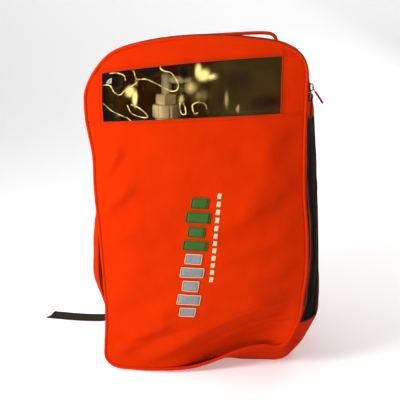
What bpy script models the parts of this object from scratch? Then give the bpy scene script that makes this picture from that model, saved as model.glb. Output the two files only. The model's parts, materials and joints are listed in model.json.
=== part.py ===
"""Portable oxygen concentrator in its soft carrying pack.

Metres, +Z up, the window and front flap face -Y. The origin is on the floor, under the middle of
the pack. The pack is a sewn shell with a zipped front flap. The concentrator stands inside it on a
foam plinth, with its compressor at the bottom, its sieve beds behind and its battery at the top.
"""

import math

import bmesh
import bpy
from mathutils import Matrix, Vector

# ---------------------------------------------------------------- driving dimensions of the pack
PACK_WIDTH = 0.272
PACK_HEIGHT = 0.455
TOP_CORNER_R = 0.055
CROWN_R = 0.55
BASE_CORNER_R = 0.025
SHELL_T = 0.0035
FRONT_SEAM_Y = -0.0742
BACK_SEAM_Y = 0.0665
GAP = 0.0004

PIPING_R = 0.0023
PIPING_INSET = 0.0026
PANEL_INSET = 0.0053
PANEL_T = 0.003
FRONT_CROWN = 0.012

FLAP_HINGE_Z = 0.0605
FLAP_HINGE_Y = FRONT_SEAM_Y - 0.0028
HINGE_CLEARANCE = 0.0025
BASE_TOP_Z = 0.060
TOP_SEAM_Z = 0.385

ZIP_Y = -0.0502
ZIP_TAPE_WIDTH = 0.0058
ZIP_T = 0.0026
ZIP_INSET = 0.0004

WINDOW_LEFT_X = -0.113
WINDOW_RIGHT_X = 0.103
WINDOW_LOW_Z = 0.358
WINDOW_HIGH_Z = 0.424

# ---------------------------------------------------------------- driving dimensions of the device
DEVICE_HALF_WIDTH = 0.100
DEVICE_FRONT_Y = -0.055
DEVICE_BACK_Y = 0.050
DEVICE_BASE_Z = 0.050
DEVICE_TOP_Z = 0.345
CASING_SEAM_Y = -0.002
CASING_WALL = 0.0025
CASING_ROUNDING = 0.008

HALF_WIDTH = PACK_WIDTH / 2
CORNER_X = HALF_WIDTH - TOP_CORNER_R
CROWN_ANGLE = math.asin(CORNER_X / (CROWN_R - TOP_CORNER_R))
CROWN_Z = PACK_HEIGHT - CROWN_R
CORNER_Z = CROWN_Z + (CROWN_R - TOP_CORNER_R) * math.cos(CROWN_ANGLE)


# ---------------------------------------------------------------- scene, materials and placing
def clear_scene():
    for obj in list(bpy.data.objects):
        bpy.data.objects.remove(obj)


clear_scene()
MODEL = bpy.data.collections.new("oxygen_concentrator")
CUTTERS = bpy.data.collections.new("cutters")
bpy.context.scene.collection.children.link(MODEL)
bpy.context.scene.collection.children.link(CUTTERS)


def material(name, colour, roughness, metallic=0.0):
    made = bpy.data.materials.new(name)
    made.use_nodes = True
    shader = made.node_tree.nodes["Principled BSDF"]
    shader.inputs["Base Color"].default_value = (*colour, 1.0)
    shader.inputs["Roughness"].default_value = roughness
    shader.inputs["Metallic"].default_value = metallic
    return made


ORANGE_FABRIC = material("orange_fabric", (0.92, 0.06, 0.004), 0.75)
BLACK_MESH = material("black_mesh", (0.012, 0.012, 0.012), 0.85)
BLACK_WEBBING = material("black_webbing", (0.03, 0.024, 0.014), 0.8)
CLEAR_FILM = material("clear_film", (0.25, 0.22, 0.14), 0.08)
ZIP_BLACK = material("zip_black", (0.015, 0.015, 0.016), 0.5)
SLIDER_METAL = material("slider_metal", (0.05, 0.05, 0.05), 0.35, 1.0)
CASING_PLASTIC = material("casing_plastic", (0.55, 0.56, 0.56), 0.45)
DARK_PLASTIC = material("dark_plastic", (0.03, 0.032, 0.035), 0.4)
CREAM_PLASTIC = material("cream_plastic", (0.75, 0.70, 0.56), 0.4)
GREEN_PLASTIC = material("green_plastic", (0.05, 0.35, 0.08), 0.4)
ALUMINIUM = material("aluminium", (0.6, 0.6, 0.62), 0.35, 1.0)
STEEL = material("steel", (0.45, 0.45, 0.47), 0.3, 1.0)
RUBBER = material("rubber", (0.02, 0.02, 0.02), 0.9)
FOAM = material("foam", (0.06, 0.06, 0.065), 0.95)
BOARD_GREEN = material("board_green", (0.01, 0.13, 0.04), 0.5)
SILICONE = material("silicone", (0.6, 0.62, 0.6), 0.35)


def add_object(name, data, finish, location=(0, 0, 0), collection=MODEL):
    obj = bpy.data.objects.new(name, data)
    obj.location = location
    if finish:
        obj.data.materials.append(finish)
    collection.objects.link(obj)
    return obj


def pivot(name, location):
    """An empty on a joint's axis, which carries the pieces that move on that joint."""
    empty = bpy.data.objects.new(name, None)
    empty.location = location
    MODEL.objects.link(empty)
    return empty


def carry(holder, *pieces):
    for piece in pieces:
        piece.parent = holder
        piece.location -= holder.location


# ---------------------------------------------------------------- shapes
def as_cutter(obj):
    CUTTERS.objects.link(obj)
    MODEL.objects.unlink(obj)
    obj.hide_render = True
    obj.display_type = "WIRE"
    return obj


def modify_boolean(target, other, operation):
    modifier = target.modifiers.new(operation.lower(), "BOOLEAN")
    modifier.operation = operation
    modifier.solver = "EXACT"
    modifier.object = as_cutter(other)


def cut(target, *tools):
    for tool in tools:
        modify_boolean(target, tool, "DIFFERENCE")


def unite(target, *others):
    for other in others:
        modify_boolean(target, other, "UNION")


def bevel(obj, width, segments=1):
    modifier = obj.modifiers.new("rounded_edges", "BEVEL")
    modifier.width = width
    modifier.segments = segments
    modifier.limit_method = "ANGLE"
    modifier.angle_limit = math.radians(40)


def box(name, low, high, finish=None, rounding=0.0, segments=1):
    """A box between two corners, with its origin at its centre."""
    low, high = Vector(low), Vector(high)
    bm = bmesh.new()
    bmesh.ops.create_cube(bm, size=1)
    bmesh.ops.scale(bm, vec=high - low, verts=bm.verts)
    mesh = bpy.data.meshes.new(name)
    bm.to_mesh(mesh)
    bm.free()
    obj = add_object(name, mesh, finish, (low + high) / 2)
    if rounding:
        bevel(obj, rounding, segments)
    return obj


AXIS_TURN = {
    "X": Matrix.Rotation(math.radians(90), 3, "Y"),
    "Y": Matrix.Rotation(math.radians(-90), 3, "X"),
    "Z": Matrix.Identity(3),
}


def cylinder(name, centre, axis, radius, length, finish=None, sides=24, end_radius=None):
    """A cylinder or cone along an axis, with its origin at its centre."""
    bm = bmesh.new()
    bmesh.ops.create_cone(
        bm,
        cap_ends=True,
        segments=sides,
        radius1=radius,
        radius2=radius if end_radius is None else end_radius,
        depth=length,
    )
    bmesh.ops.rotate(bm, cent=(0, 0, 0), matrix=AXIS_TURN[axis], verts=bm.verts)
    mesh = bpy.data.meshes.new(name)
    bm.to_mesh(mesh)
    bm.free()
    mesh.shade_smooth()
    mesh.set_sharp_from_angle(angle=math.radians(35))
    return add_object(name, mesh, finish, centre)


def turned(name, centre, profile, finish, sides=28):
    """A solid turned about the Z axis from (radius, height) points, which run down its outer side."""
    bm = bmesh.new()
    rim = [bm.verts.new((radius, 0, height)) for radius, height in profile]
    for upper, lower in zip(rim, rim[1:]):
        bm.edges.new((upper, lower))
    mesh = bpy.data.meshes.new(name)
    bm.to_mesh(mesh)
    bm.free()
    obj = add_object(name, mesh, finish, centre)
    screw = obj.modifiers.new("turning", "SCREW")
    screw.steps = sides
    screw.render_steps = sides
    screw.use_merge_vertices = True
    screw.merge_threshold = 0.00005
    return obj


def curve_through(points, closed):
    data = bpy.data.curves.new("line", "CURVE")
    data.dimensions = "3D"
    spline = data.splines.new("POLY")
    spline.points.add(len(points) - 1)
    for point, place in zip(spline.points, points):
        point.co = (*place, 1.0)
    spline.use_cyclic_u = closed
    return data


def tube(name, points, radius, finish, closed=False, roundness=1):
    data = curve_through(points, closed)
    data.bevel_depth = radius
    data.bevel_resolution = roundness
    data.use_fill_caps = True
    return add_object(name, data, finish)


def solidify(obj, thickness, offset):
    modifier = obj.modifiers.new("fabric_thickness", "SOLIDIFY")
    modifier.thickness = thickness
    modifier.offset = offset
    modifier.use_even_offset = offset != 0


def band(name, outline, low_y, high_y, thickness, finish):
    """A strip of fabric that follows an outline of (x, z) points, seen from the front, and runs from
    low_y to high_y. The outline goes clockwise, and the thickness lies on its inner side."""
    bm = bmesh.new()
    near = [bm.verts.new((x, low_y, z)) for x, z in outline]
    edges = [bm.edges.new(pair) for pair in zip(near, near[1:])]
    bmesh.ops.extrude_edge_only(bm, edges=edges)
    far = [vert for vert in bm.verts if vert not in set(near)]
    bmesh.ops.translate(bm, vec=(0, high_y - low_y, 0), verts=far)
    bmesh.ops.recalc_face_normals(bm, faces=bm.faces)
    bm.faces.ensure_lookup_table()
    middle = bm.faces[len(bm.faces) // 2]
    outwards = middle.calc_center_median() - Vector((0, 0, PACK_HEIGHT / 2))
    if middle.normal.dot(outwards) < 0:
        bmesh.ops.reverse_faces(bm, faces=bm.faces)
    mesh = bpy.data.meshes.new(name)
    bm.to_mesh(mesh)
    bm.free()
    obj = add_object(name, mesh, finish)
    solidify(obj, thickness, -1)
    return obj


def grid_sheet(name, place, columns, rows, thickness, finish, offset=-1):
    """A sheet whose points are place(u, v), with u and v from 0 to 1, thickened behind its face."""
    bm = bmesh.new()
    bmesh.ops.create_grid(bm, x_segments=columns, y_segments=rows, size=0.5)
    for vert in bm.verts:
        vert.co = place(vert.co.x + 0.5, vert.co.y + 0.5)
    mesh = bpy.data.meshes.new(name)
    bm.to_mesh(mesh)
    bm.free()
    mesh.shade_smooth()
    obj = add_object(name, mesh, finish)
    solidify(obj, thickness, offset)
    return obj


def smooth_route(points, steps):
    """A smooth curve through hand-placed points, read at even steps between each pair."""
    ends = [2 * points[0] - points[1], *points, 2 * points[-1] - points[-2]]
    route = []
    for before, start, end, after in zip(ends, ends[1:], ends[2:], ends[3:]):
        for step in range(steps):
            t = step / steps
            route.append(
                0.5 * (
                    2 * start
                    + (end - before) * t
                    + (2 * before - 5 * start + 4 * end - after) * t**2
                    + (3 * start - before - 3 * end + after) * t**3
                )
            )
    route.append(points[-1])
    return route


def ribbon(name, route, across, width, thickness, finish, columns=1, slant=0.0):
    """A flat strap along a route. across(t) points along its width, width(t) is its width, and
    slant moves one corner of its far end back, as on a strap that is cut at an angle."""
    last = len(route) - 1

    def place(u, v):
        at = min(int(round(v * last)), last)
        ahead, behind = route[min(at + 1, last)], route[max(at - 1, 0)]
        along = (ahead - behind).normalized()
        side = across(v)
        side = (side - along * side.dot(along)).normalized()
        cut_back = along * slant * u if at == last else Vector()
        return route[at] + side * (u - 0.5) * width(v) - cut_back

    return grid_sheet(name, place, columns, last, thickness, finish, offset=0)


# ---------------------------------------------------------------- the outline of the pack
def arc(centre_x, centre_z, radius, start, end, steps):
    """Points on an arc, by angle from the +X direction, in degrees."""
    angles = [math.radians(start + (end - start) * i / steps) for i in range(steps + 1)]
    return [(centre_x + radius * math.cos(a), centre_z + radius * math.sin(a)) for a in angles]


def right_top(inset):
    """The right half of the arch, from the side up to the middle of the crown."""
    turn = 90 - math.degrees(CROWN_ANGLE)
    corner = arc(CORNER_X, CORNER_Z, TOP_CORNER_R - inset, 0, turn, 7)
    crown = arc(0, CROWN_Z, CROWN_R - inset, turn, 90, 4)
    return corner + crown[1:]


def right_base(inset):
    """The right half of the bottom, from the middle of the floor to the side."""
    corner = arc(
        HALF_WIDTH - BASE_CORNER_R, BASE_CORNER_R, BASE_CORNER_R - inset, -90, 0, 5
    )
    return [(0, inset), *corner]


def mirrored(points):
    return [(-x, z) for x, z in points]


def upper_outline(inset, from_z):
    """From the left side at from_z, over the top, down to the right side at from_z."""
    right = [(HALF_WIDTH - inset, from_z), *right_top(inset)]
    return mirrored(right) + right[-2::-1]


def lower_outline(inset, from_z):
    """From the right side at from_z, under the floor, up to the left side at from_z."""
    right = [*right_base(inset), (HALF_WIDTH - inset, from_z)]
    return right[::-1] + mirrored(right)[1:]


def whole_outline(inset):
    right = right_base(inset) + right_top(inset)
    return right[:-1] + mirrored(right)[:0:-1]


def resampled(points, share):
    """The point at a share of the length of a line of (x, z) points."""
    lengths = [math.dist(a, b) for a, b in zip(points, points[1:])]
    left = share * sum(lengths)
    for start, end, length in zip(points, points[1:], lengths):
        if left <= length:
            part = left / length
            return tuple(s + (e - s) * part for s, e in zip(start, end))
        left -= length
    return points[-1]


def patch(bottom, right, top, left):
    """A map from (u, v) to (x, z) that fills the space between four edges that meet at their ends."""

    def place(u, v):
        low, high = resampled(bottom, u), resampled(top, u)
        near, far = resampled(left, v), resampled(right, v)
        corners = [
            bottom[0][i] * (1 - u) * (1 - v)
            + bottom[-1][i] * u * (1 - v)
            + top[0][i] * (1 - u) * v
            + top[-1][i] * u * v
            for i in (0, 1)
        ]
        return tuple(
            low[i] * (1 - v) + high[i] * v + near[i] * (1 - u) + far[i] * u - corners[i]
            for i in (0, 1)
        )

    return place


def front_y(x, z):
    """The front of the front panels, which the load inside pushes out in the middle."""
    across = 1 - min(abs(x) / (HALF_WIDTH - PANEL_INSET), 1) ** 3
    half_height = (PACK_HEIGHT - FLAP_HINGE_Z) / 2
    up = (z - FLAP_HINGE_Z - half_height) / half_height
    along = max(0.0, 1 - abs(up) ** 4)
    return FRONT_SEAM_Y - GAP - PANEL_T - FRONT_CROWN * across * along


def front_sheet(name, region, columns, rows, thickness, finish, behind=0.0):
    def place(u, v):
        x, z = region(u, v)
        return Vector((x, front_y(x, z) + behind, z))

    return grid_sheet(name, place, columns, rows, thickness, finish)


# ---------------------------------------------------------------- pack: the body of the shell
def build_shell():
    band(
        "base_panel",
        lower_outline(0, BASE_TOP_Z),
        FRONT_SEAM_Y,
        BACK_SEAM_Y,
        SHELL_T,
        ORANGE_FABRIC,
    )
    rear_zip_edge = ZIP_Y + ZIP_TAPE_WIDTH + GAP / 2
    band(
        "top_gusset",
        upper_outline(0, TOP_SEAM_Z + GAP),
        rear_zip_edge,
        BACK_SEAM_Y,
        SHELL_T,
        ORANGE_FABRIC,
    )
    for side, sign in (("left", -1), ("right", 1)):
        build_side(side, sign, rear_zip_edge)
    build_back()
    build_sill()


VENT_LOW = (-0.0400, 0.068)
VENT_HIGH = (-0.0080, 0.345)
VENT_SWELL = 0.003
MESH_T = 0.0014
BELLY = 0.020


def side_x(y, z, front_edge):
    """How far out the side of the pack stands at (y, z), where the load inside pushes it out."""
    depth = (y - front_edge) / (BACK_SEAM_Y - front_edge)
    rise = (z - BASE_TOP_Z) / (TOP_SEAM_Z - BASE_TOP_Z)
    return HALF_WIDTH + BELLY * math.sin(math.pi * depth) ** 1.2 * math.sin(math.pi * rise**0.8) ** 0.7


def build_side(side, sign, front_edge):
    """One side of the gusset, with a tall vent hole behind the zip, and the mesh that fills the hole."""
    low_z, high_z = BASE_TOP_Z + GAP, TOP_SEAM_Z - GAP

    def gusset_place(u, v):
        y = front_edge + u * (BACK_SEAM_Y - front_edge)
        z = low_z + v * (high_z - low_z)
        return Vector((sign * side_x(y, z, front_edge), y, z))

    gusset = grid_sheet(
        f"side_gusset_{side}", gusset_place, 10, 14, SHELL_T, ORANGE_FABRIC, offset=-sign
    )
    hole = box(
        f"vent_hole_{side}",
        (sign * HALF_WIDTH - 0.03, VENT_LOW[0], VENT_LOW[1]),
        (sign * HALF_WIDTH + 0.03, VENT_HIGH[0], VENT_HIGH[1]),
    )
    cut(gusset, hole)

    def mesh_place(u, v):
        y = VENT_LOW[0] + GAP + u * (VENT_HIGH[0] - VENT_LOW[0] - 2 * GAP)
        z = VENT_LOW[1] + GAP + v * (VENT_HIGH[1] - VENT_LOW[1] - 2 * GAP)
        swell = VENT_SWELL * (1 - (2 * u - 1) ** 2) * (1 - (2 * v - 1) ** 6)
        return Vector((sign * (side_x(y, z, front_edge) - 0.001 + swell), y, z))

    grid_sheet(f"side_mesh_{side}", mesh_place, 6, 14, MESH_T, BLACK_MESH, offset=-sign)


BACK_T = 0.008
YOKE_LOW = (-0.085, 0.392)
YOKE_HIGH = (0.085, 0.428)
YOKE_T = 0.003
BACK_FACE_Y = BACK_SEAM_Y + GAP + BACK_T
YOKE_FACE_Y = BACK_FACE_Y + YOKE_T


def plate(name, outline, low_y, high_y, finish):
    """A flat plate with a convex outline of (x, z) points, between two depths."""
    bm = bmesh.new()
    face = bm.faces.new([bm.verts.new((x, low_y, z)) for x, z in outline])
    grown = bmesh.ops.extrude_face_region(bm, geom=[face])
    moved = [part for part in grown["geom"] if isinstance(part, bmesh.types.BMVert)]
    bmesh.ops.translate(bm, vec=(0, high_y - low_y, 0), verts=moved)
    bmesh.ops.recalc_face_normals(bm, faces=bm.faces)
    mesh = bpy.data.meshes.new(name)
    bm.to_mesh(mesh)
    bm.free()
    return add_object(name, mesh, finish)


def build_back():
    """The padded back panel, with the yoke patch that the shoulder straps are sewn to."""
    panel = plate(
        "back_panel",
        whole_outline(PANEL_INSET),
        BACK_SEAM_Y + GAP,
        BACK_FACE_Y,
        ORANGE_FABRIC,
    )
    yoke = box(
        "strap_yoke",
        (YOKE_LOW[0], BACK_FACE_Y - 0.002, YOKE_LOW[1]),
        (YOKE_HIGH[0], YOKE_FACE_Y, YOKE_HIGH[1]),
    )
    unite(panel, yoke)
    tube(
        "piping_back",
        [(x, BACK_SEAM_Y + 2 * GAP + PIPING_R, z) for x, z in whole_outline(PIPING_INSET)],
        PIPING_R,
        ORANGE_FABRIC,
        closed=True,
    )


def build_sill():
    """The strip of the front below the flap, which stays sewn to the base."""
    inset_x = HALF_WIDTH - PANEL_INSET
    top_z = FLAP_HINGE_Z - HINGE_CLEARANCE
    half = right_base(PANEL_INSET)
    bottom = mirrored(half)[:0:-1] + half
    turn = len(half) // 2 + 1
    floor = bottom[turn:-turn]
    left = [*bottom[: turn + 1][::-1], (-inset_x, top_z)]
    right = [*bottom[-turn - 1 :], (inset_x, top_z)]
    top = [(-inset_x, top_z), (inset_x, top_z)]
    front_sheet("front_sill", patch(floor, right, top, left), 16, 5, PANEL_T, ORANGE_FABRIC)
    tube(
        "piping_base",
        [(x, FLAP_HINGE_Y, z) for x, z in lower_outline(PIPING_INSET, top_z)],
        PIPING_R,
        ORANGE_FABRIC,
    )


# ---------------------------------------------------------------- pack: the front flap
def build_flap():
    low_z = FLAP_HINGE_Z + HINGE_CLEARANCE
    arch = upper_outline(PANEL_INSET, low_z)
    count = len(arch)
    corner = 5
    left = arch[: corner + 1]
    right = arch[count - corner - 1 :][::-1]
    top = arch[corner : count - corner]
    bottom = [arch[0], arch[-1]]
    panel = front_sheet("front_panel", patch(bottom, right, top, left), 16, 20, PANEL_T, ORANGE_FABRIC)
    opening = box(
        "window_hole",
        (WINDOW_LEFT_X - GAP, -0.12, WINDOW_LOW_Z - GAP),
        (WINDOW_RIGHT_X + GAP, -0.06, WINDOW_HIGH_Z + GAP),
    )
    cut(panel, opening)

    def window_region(u, v):
        x = WINDOW_LEFT_X + u * (WINDOW_RIGHT_X - WINDOW_LEFT_X)
        return x, WINDOW_LOW_Z + v * (WINDOW_HIGH_Z - WINDOW_LOW_Z)

    film_t = 0.0008
    window = front_sheet(
        "window_film", window_region, 12, 4, film_t, CLEAR_FILM, (PANEL_T - film_t) / 2
    )
    gusset = band(
        "flap_gusset",
        upper_outline(0, low_z),
        FRONT_SEAM_Y,
        ZIP_Y - ZIP_TAPE_WIDTH - GAP,
        SHELL_T,
        ORANGE_FABRIC,
    )
    piping = tube(
        "piping_flap",
        [(x, FLAP_HINGE_Y, z) for x, z in upper_outline(PIPING_INSET, low_z + GAP)],
        PIPING_R,
        ORANGE_FABRIC,
    )
    zip_half = band(
        "zip_half_flap",
        upper_outline(ZIP_INSET, low_z + GAP),
        ZIP_Y - ZIP_TAPE_WIDTH,
        ZIP_Y - GAP / 2,
        ZIP_T,
        ZIP_BLACK,
    )
    hinge = pivot("flap_hinge", (0, FLAP_HINGE_Y, FLAP_HINGE_Z))
    carry(hinge, panel, window, gusset, piping, zip_half)


# ---------------------------------------------------------------- pack: the zip and its sliders
SLIDER_LENGTH = 0.011
SLIDER_WIDTH = 0.009
SLIDER_T = 0.0045
SLIDER_LOWER_Z = CORNER_Z - SLIDER_LENGTH - 0.0009
BRIDGE_T = 0.0012
BRIDGE_REACH = 0.0042
PIN_X = HALF_WIDTH + GAP + SLIDER_T + 0.0016
PULL_T = 0.0014
PULL_REST_ANGLE = math.radians(35)


def build_slider(name, centre_z):
    """A slider on the outside of the zip at the right, with the bridge that holds its pull."""
    face = HALF_WIDTH + GAP
    body = box(
        name,
        (face, ZIP_Y - SLIDER_WIDTH / 2, centre_z - SLIDER_LENGTH / 2),
        (face + SLIDER_T, ZIP_Y + SLIDER_WIDTH / 2, centre_z + SLIDER_LENGTH / 2),
        SLIDER_METAL,
        0.0012,
        2,
    )
    bridge_face = face + SLIDER_T
    bridge = box(
        name + "_bridge",
        (bridge_face - 0.001, ZIP_Y - 0.0013, centre_z - 0.0044),
        (bridge_face + BRIDGE_REACH, ZIP_Y + 0.0013, centre_z + 0.0044),
    )
    tunnel = box(
        name + "_tunnel",
        (bridge_face + 0.0001, ZIP_Y - 0.005, centre_z - 0.0026),
        (bridge_face + BRIDGE_REACH - BRIDGE_T, ZIP_Y + 0.005, centre_z + 0.0026),
    )
    cut(bridge, tunnel)
    unite(body, bridge)
    return body


def build_pull(name, centre_z, angle):
    """A metal loop that hangs on the slider's bridge, with a fabric tab at its end."""
    half = PULL_T / 2
    loop = box(name, (-half, -0.0045, -0.0100), (half, 0.0045, half), ORANGE_FABRIC)
    eye = box(name + "_eye", (-0.01, -0.0022, -0.0066), (0.01, 0.0022, -half))
    cut(loop, eye)
    tab = box(name + "_tab", (-0.0011, -0.0055, -0.0245), (0.0011, 0.0055, -0.0085))
    bevel(tab, 0.0009, 1)
    unite(loop, tab)
    holder = pivot(name + "_pin", (PIN_X, ZIP_Y, centre_z))
    for piece in (loop, eye, tab):
        piece.parent = holder
    holder.rotation_euler = (0, -angle, 0)
    return holder


def build_zip():
    band(
        "zip_half_body",
        upper_outline(ZIP_INSET, FLAP_HINGE_Z + HINGE_CLEARANCE + GAP),
        ZIP_Y + GAP / 2,
        ZIP_Y + ZIP_TAPE_WIDTH - GAP / 2,
        ZIP_T,
        ZIP_BLACK,
    )
    build_slider("zip_slider_lower", SLIDER_LOWER_Z)
    build_pull("zip_pull_lower", SLIDER_LOWER_Z, 0.0)
    build_slider("zip_slider_upper", CORNER_Z)
    build_pull("zip_pull_upper", CORNER_Z, PULL_REST_ANGLE)


# ---------------------------------------------------------------- pack: handle and straps
HANDLE_WIDTH = 0.030
HANDLE_T = 0.005


def build_handle():
    """The padded loop on top, which lies nearly flat and lifts when it is pulled."""
    right = [(0.0, 0.4638), (0.045, 0.4635), (0.078, 0.4620), (0.0905, 0.4570), (0.0950, 0.4478)]
    line = [Vector((-x, 0, z)) for x, z in right[:0:-1]] + [Vector((x, 0, z)) for x, z in right]
    route = smooth_route(line, 3)
    ribbon(
        "carry_handle",
        route,
        lambda v: Vector((0, 1, 0)),
        lambda v: HANDLE_WIDTH,
        HANDLE_T,
        ORANGE_FABRIC,
        columns=2,
    )


STRAP_T = 0.009
STRAP_ROUTE = (
    (0.050, 0.0832, 0.424),
    (0.056, 0.0838, 0.398),
    (0.074, 0.0985, 0.358),
    (0.104, 0.1205, 0.308),
    (0.131, 0.1280, 0.250),
    (0.143, 0.1210, 0.195),
    (0.138, 0.1060, 0.145),
)
ANCHOR_ROUTE = (
    (0.1345, 0.0975, 0.1130),
    (0.1325, 0.0905, 0.0800),
    (0.1290, 0.0800, 0.0480),
    (0.1240, 0.0765, 0.0300),
)
WEBBING_WIDTH = 0.025
WEBBING_T = 0.0016


def strap_width(v):
    """Narrow where it is sewn on, wide over the shoulder, narrow at the buckle."""
    return 0.046 + 0.016 * math.sin(math.pi * min(1, v * 1.15)) - 0.014 * max(0, v - 0.8) / 0.2


def strap_across(v, sign):
    """Flat on the yoke at first, then turned so that the strap faces the wearer's shoulder."""
    return Vector((sign, -0.3 * max(0.0, min(1.0, (v - 0.2) * 3)), 0.35 * (1 - v)))


def on_side(points, sign):
    return [Vector((sign * x, y, z)) for x, y, z in points]


def build_straps():
    for side, sign in (("left", -1), ("right", 1)):
        ribbon(
            f"shoulder_strap_{side}",
            smooth_route(on_side(STRAP_ROUTE, sign), 3),
            lambda v, sign=sign: strap_across(v, sign),
            strap_width,
            STRAP_T,
            ORANGE_FABRIC,
            columns=4,
        )
        ribbon(
            f"strap_anchor_{side}",
            smooth_route(on_side(ANCHOR_ROUTE, sign), 3),
            lambda v: Vector((1, 0, 0)),
            lambda v: WEBBING_WIDTH,
            WEBBING_T,
            BLACK_WEBBING,
        )
        build_ladder_lock(f"ladder_lock_{side}", sign)


LOCK_CENTRE = (0.1360, 0.1015, 0.1290)
LOCK_SIZE = (0.033, 0.005, 0.023)
LOCK_TILT = math.radians(17)


def build_ladder_lock(name, sign):
    """The flat frame that grips the webbing, with one slot for the strap and one for the webbing."""
    half = Vector(LOCK_SIZE) / 2
    frame = box(name, -half, half, DARK_PLASTIC, 0.0012, 1)
    slots = [
        box(f"{name}_slot_{i}", (-0.0130, -0.01, z - 0.0022), (0.0130, 0.01, z + 0.0022))
        for i, z in enumerate((-0.0055, 0.0055))
    ]
    cut(frame, *slots)
    holder = pivot(name + "_place", (sign * LOCK_CENTRE[0], LOCK_CENTRE[1], LOCK_CENTRE[2]))
    for piece in (frame, *slots):
        piece.parent = holder
    holder.rotation_euler = (-LOCK_TILT, 0, 0)


TAIL_LEFT_ROUTE = (
    (-0.1350, 0.1030, 0.1150),
    (-0.1340, 0.1060, 0.0900),
    (-0.1330, 0.1035, 0.0640),
    (-0.1340, 0.0970, 0.0400),
    (-0.1390, 0.0890, 0.0200),
    (-0.1510, 0.0810, 0.0068),
    (-0.1680, 0.0745, 0.0020),
    (-0.1900, 0.0715, 0.0014),
    (-0.2150, 0.0710, 0.0014),
    (-0.2400, 0.0725, 0.0014),
    (-0.2680, 0.0750, 0.0014),
)
TAIL_RIGHT_ROUTE = (
    (0.1350, 0.1030, 0.1150),
    (0.1350, 0.1075, 0.0900),
    (0.1345, 0.1110, 0.0640),
    (0.1340, 0.1150, 0.0380),
    (0.1335, 0.1230, 0.0160),
    (0.1330, 0.1400, 0.0040),
    (0.1325, 0.1600, 0.0014),
    (0.1320, 0.1800, 0.0014),
)
TAIL_CUT = 0.014


def tail_across(v):
    """The left tail twists as it falls, so that it lies flat on the floor beside the pack."""
    twist = max(0.0, min(1.0, (v - 0.08) / 0.42))
    turn = math.radians(90) * twist * twist * (3 - 2 * twist)
    return Vector((math.cos(turn), math.sin(turn), 0))


def build_tails():
    ribbon(
        "strap_tail_left",
        smooth_route([Vector(p) for p in TAIL_LEFT_ROUTE], 3),
        tail_across,
        lambda v: WEBBING_WIDTH,
        WEBBING_T,
        BLACK_WEBBING,
        slant=TAIL_CUT,
    )
    ribbon(
        "strap_tail_right",
        smooth_route([Vector(p) for p in TAIL_RIGHT_ROUTE], 3),
        lambda v: Vector((1, 0, 0)),
        lambda v: WEBBING_WIDTH,
        WEBBING_T,
        BLACK_WEBBING,
        slant=TAIL_CUT,
    )


# ---------------------------------------------------------------- device: casing
def casing_half(name, open_side):
    """Half of the casing, open towards the other half: a rounded box without its seam face."""
    gap = GAP / 2
    if open_side > 0:
        low_y, high_y = DEVICE_FRONT_Y, CASING_SEAM_Y - gap
    else:
        low_y, high_y = CASING_SEAM_Y + gap, DEVICE_BACK_Y
    low = Vector((-DEVICE_HALF_WIDTH, low_y, DEVICE_BASE_Z))
    high = Vector((DEVICE_HALF_WIDTH, high_y, DEVICE_TOP_Z))
    centre = (low + high) / 2
    bm = bmesh.new()
    bmesh.ops.create_cube(bm, size=1)
    bmesh.ops.scale(bm, vec=high - low, verts=bm.verts)
    seam_face = [f for f in bm.faces if f.normal.y * open_side > 0.9]
    bmesh.ops.delete(bm, geom=seam_face, context="FACES_ONLY")
    rounded = [e for e in bm.edges if len(e.link_faces) == 2]
    bmesh.ops.bevel(
        bm, geom=rounded, offset=CASING_ROUNDING, segments=3, profile=0.5, affect="EDGES"
    )
    mesh = bpy.data.meshes.new(name)
    bm.to_mesh(mesh)
    bm.free()
    mesh.shade_smooth()
    obj = add_object(name, mesh, CASING_PLASTIC, centre)
    solidify(obj, CASING_WALL, -1)
    return obj


OUTLET_X, OUTLET_Y = -0.046, -0.027
BATTERY_LOW = (0.022, 0.004, 0.200)
BATTERY_HIGH = (0.092, 0.043, 0.352)
FAN_Y, FAN_Z, FAN_R = 0.0225, DEVICE_BASE_Z + 0.060, 0.0198
FAN_HALF = 0.0215
FILTER_LOW = (0.006, DEVICE_BASE_Z + 0.037)
FILTER_HIGH = (0.038, DEVICE_BASE_Z + 0.083)


def build_casing():
    front = casing_half("casing_front", 1)
    panel_hole = box("panel_hole", (-0.046, -0.07, 0.283), (0.046, -0.045, 0.327))
    outlet_hole = cylinder("outlet_hole", (OUTLET_X, OUTLET_Y, DEVICE_TOP_Z), "Z", 0.0095, 0.03)
    cut(front, panel_hole, outlet_hole)

    rear = casing_half("casing_rear", -1)
    bay = box(
        "battery_bay",
        (BATTERY_LOW[0] - 0.0006, BATTERY_LOW[1] - 0.0006, DEVICE_TOP_Z - 0.02),
        (BATTERY_HIGH[0] + 0.0006, BATTERY_HIGH[1] + 0.0006, DEVICE_TOP_Z + 0.02),
    )
    slot_count = 7
    slot_pitch = 0.0056
    fan_slots = [
        box(
            f"fan_slot_{i}",
            (-0.12, FAN_Y - 0.016, FAN_Z + (i - (slot_count - 1) / 2) * slot_pitch - 0.0014),
            (-0.08, FAN_Y + 0.016, FAN_Z + (i - (slot_count - 1) / 2) * slot_pitch + 0.0014),
        )
        for i in range(slot_count)
    ]
    filter_hole = box(
        "filter_hole", (0.08, FILTER_LOW[0], FILTER_LOW[1]), (0.12, FILTER_HIGH[0], FILTER_HIGH[1])
    )
    cut(rear, bay, filter_hole, *fan_slots)


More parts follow.
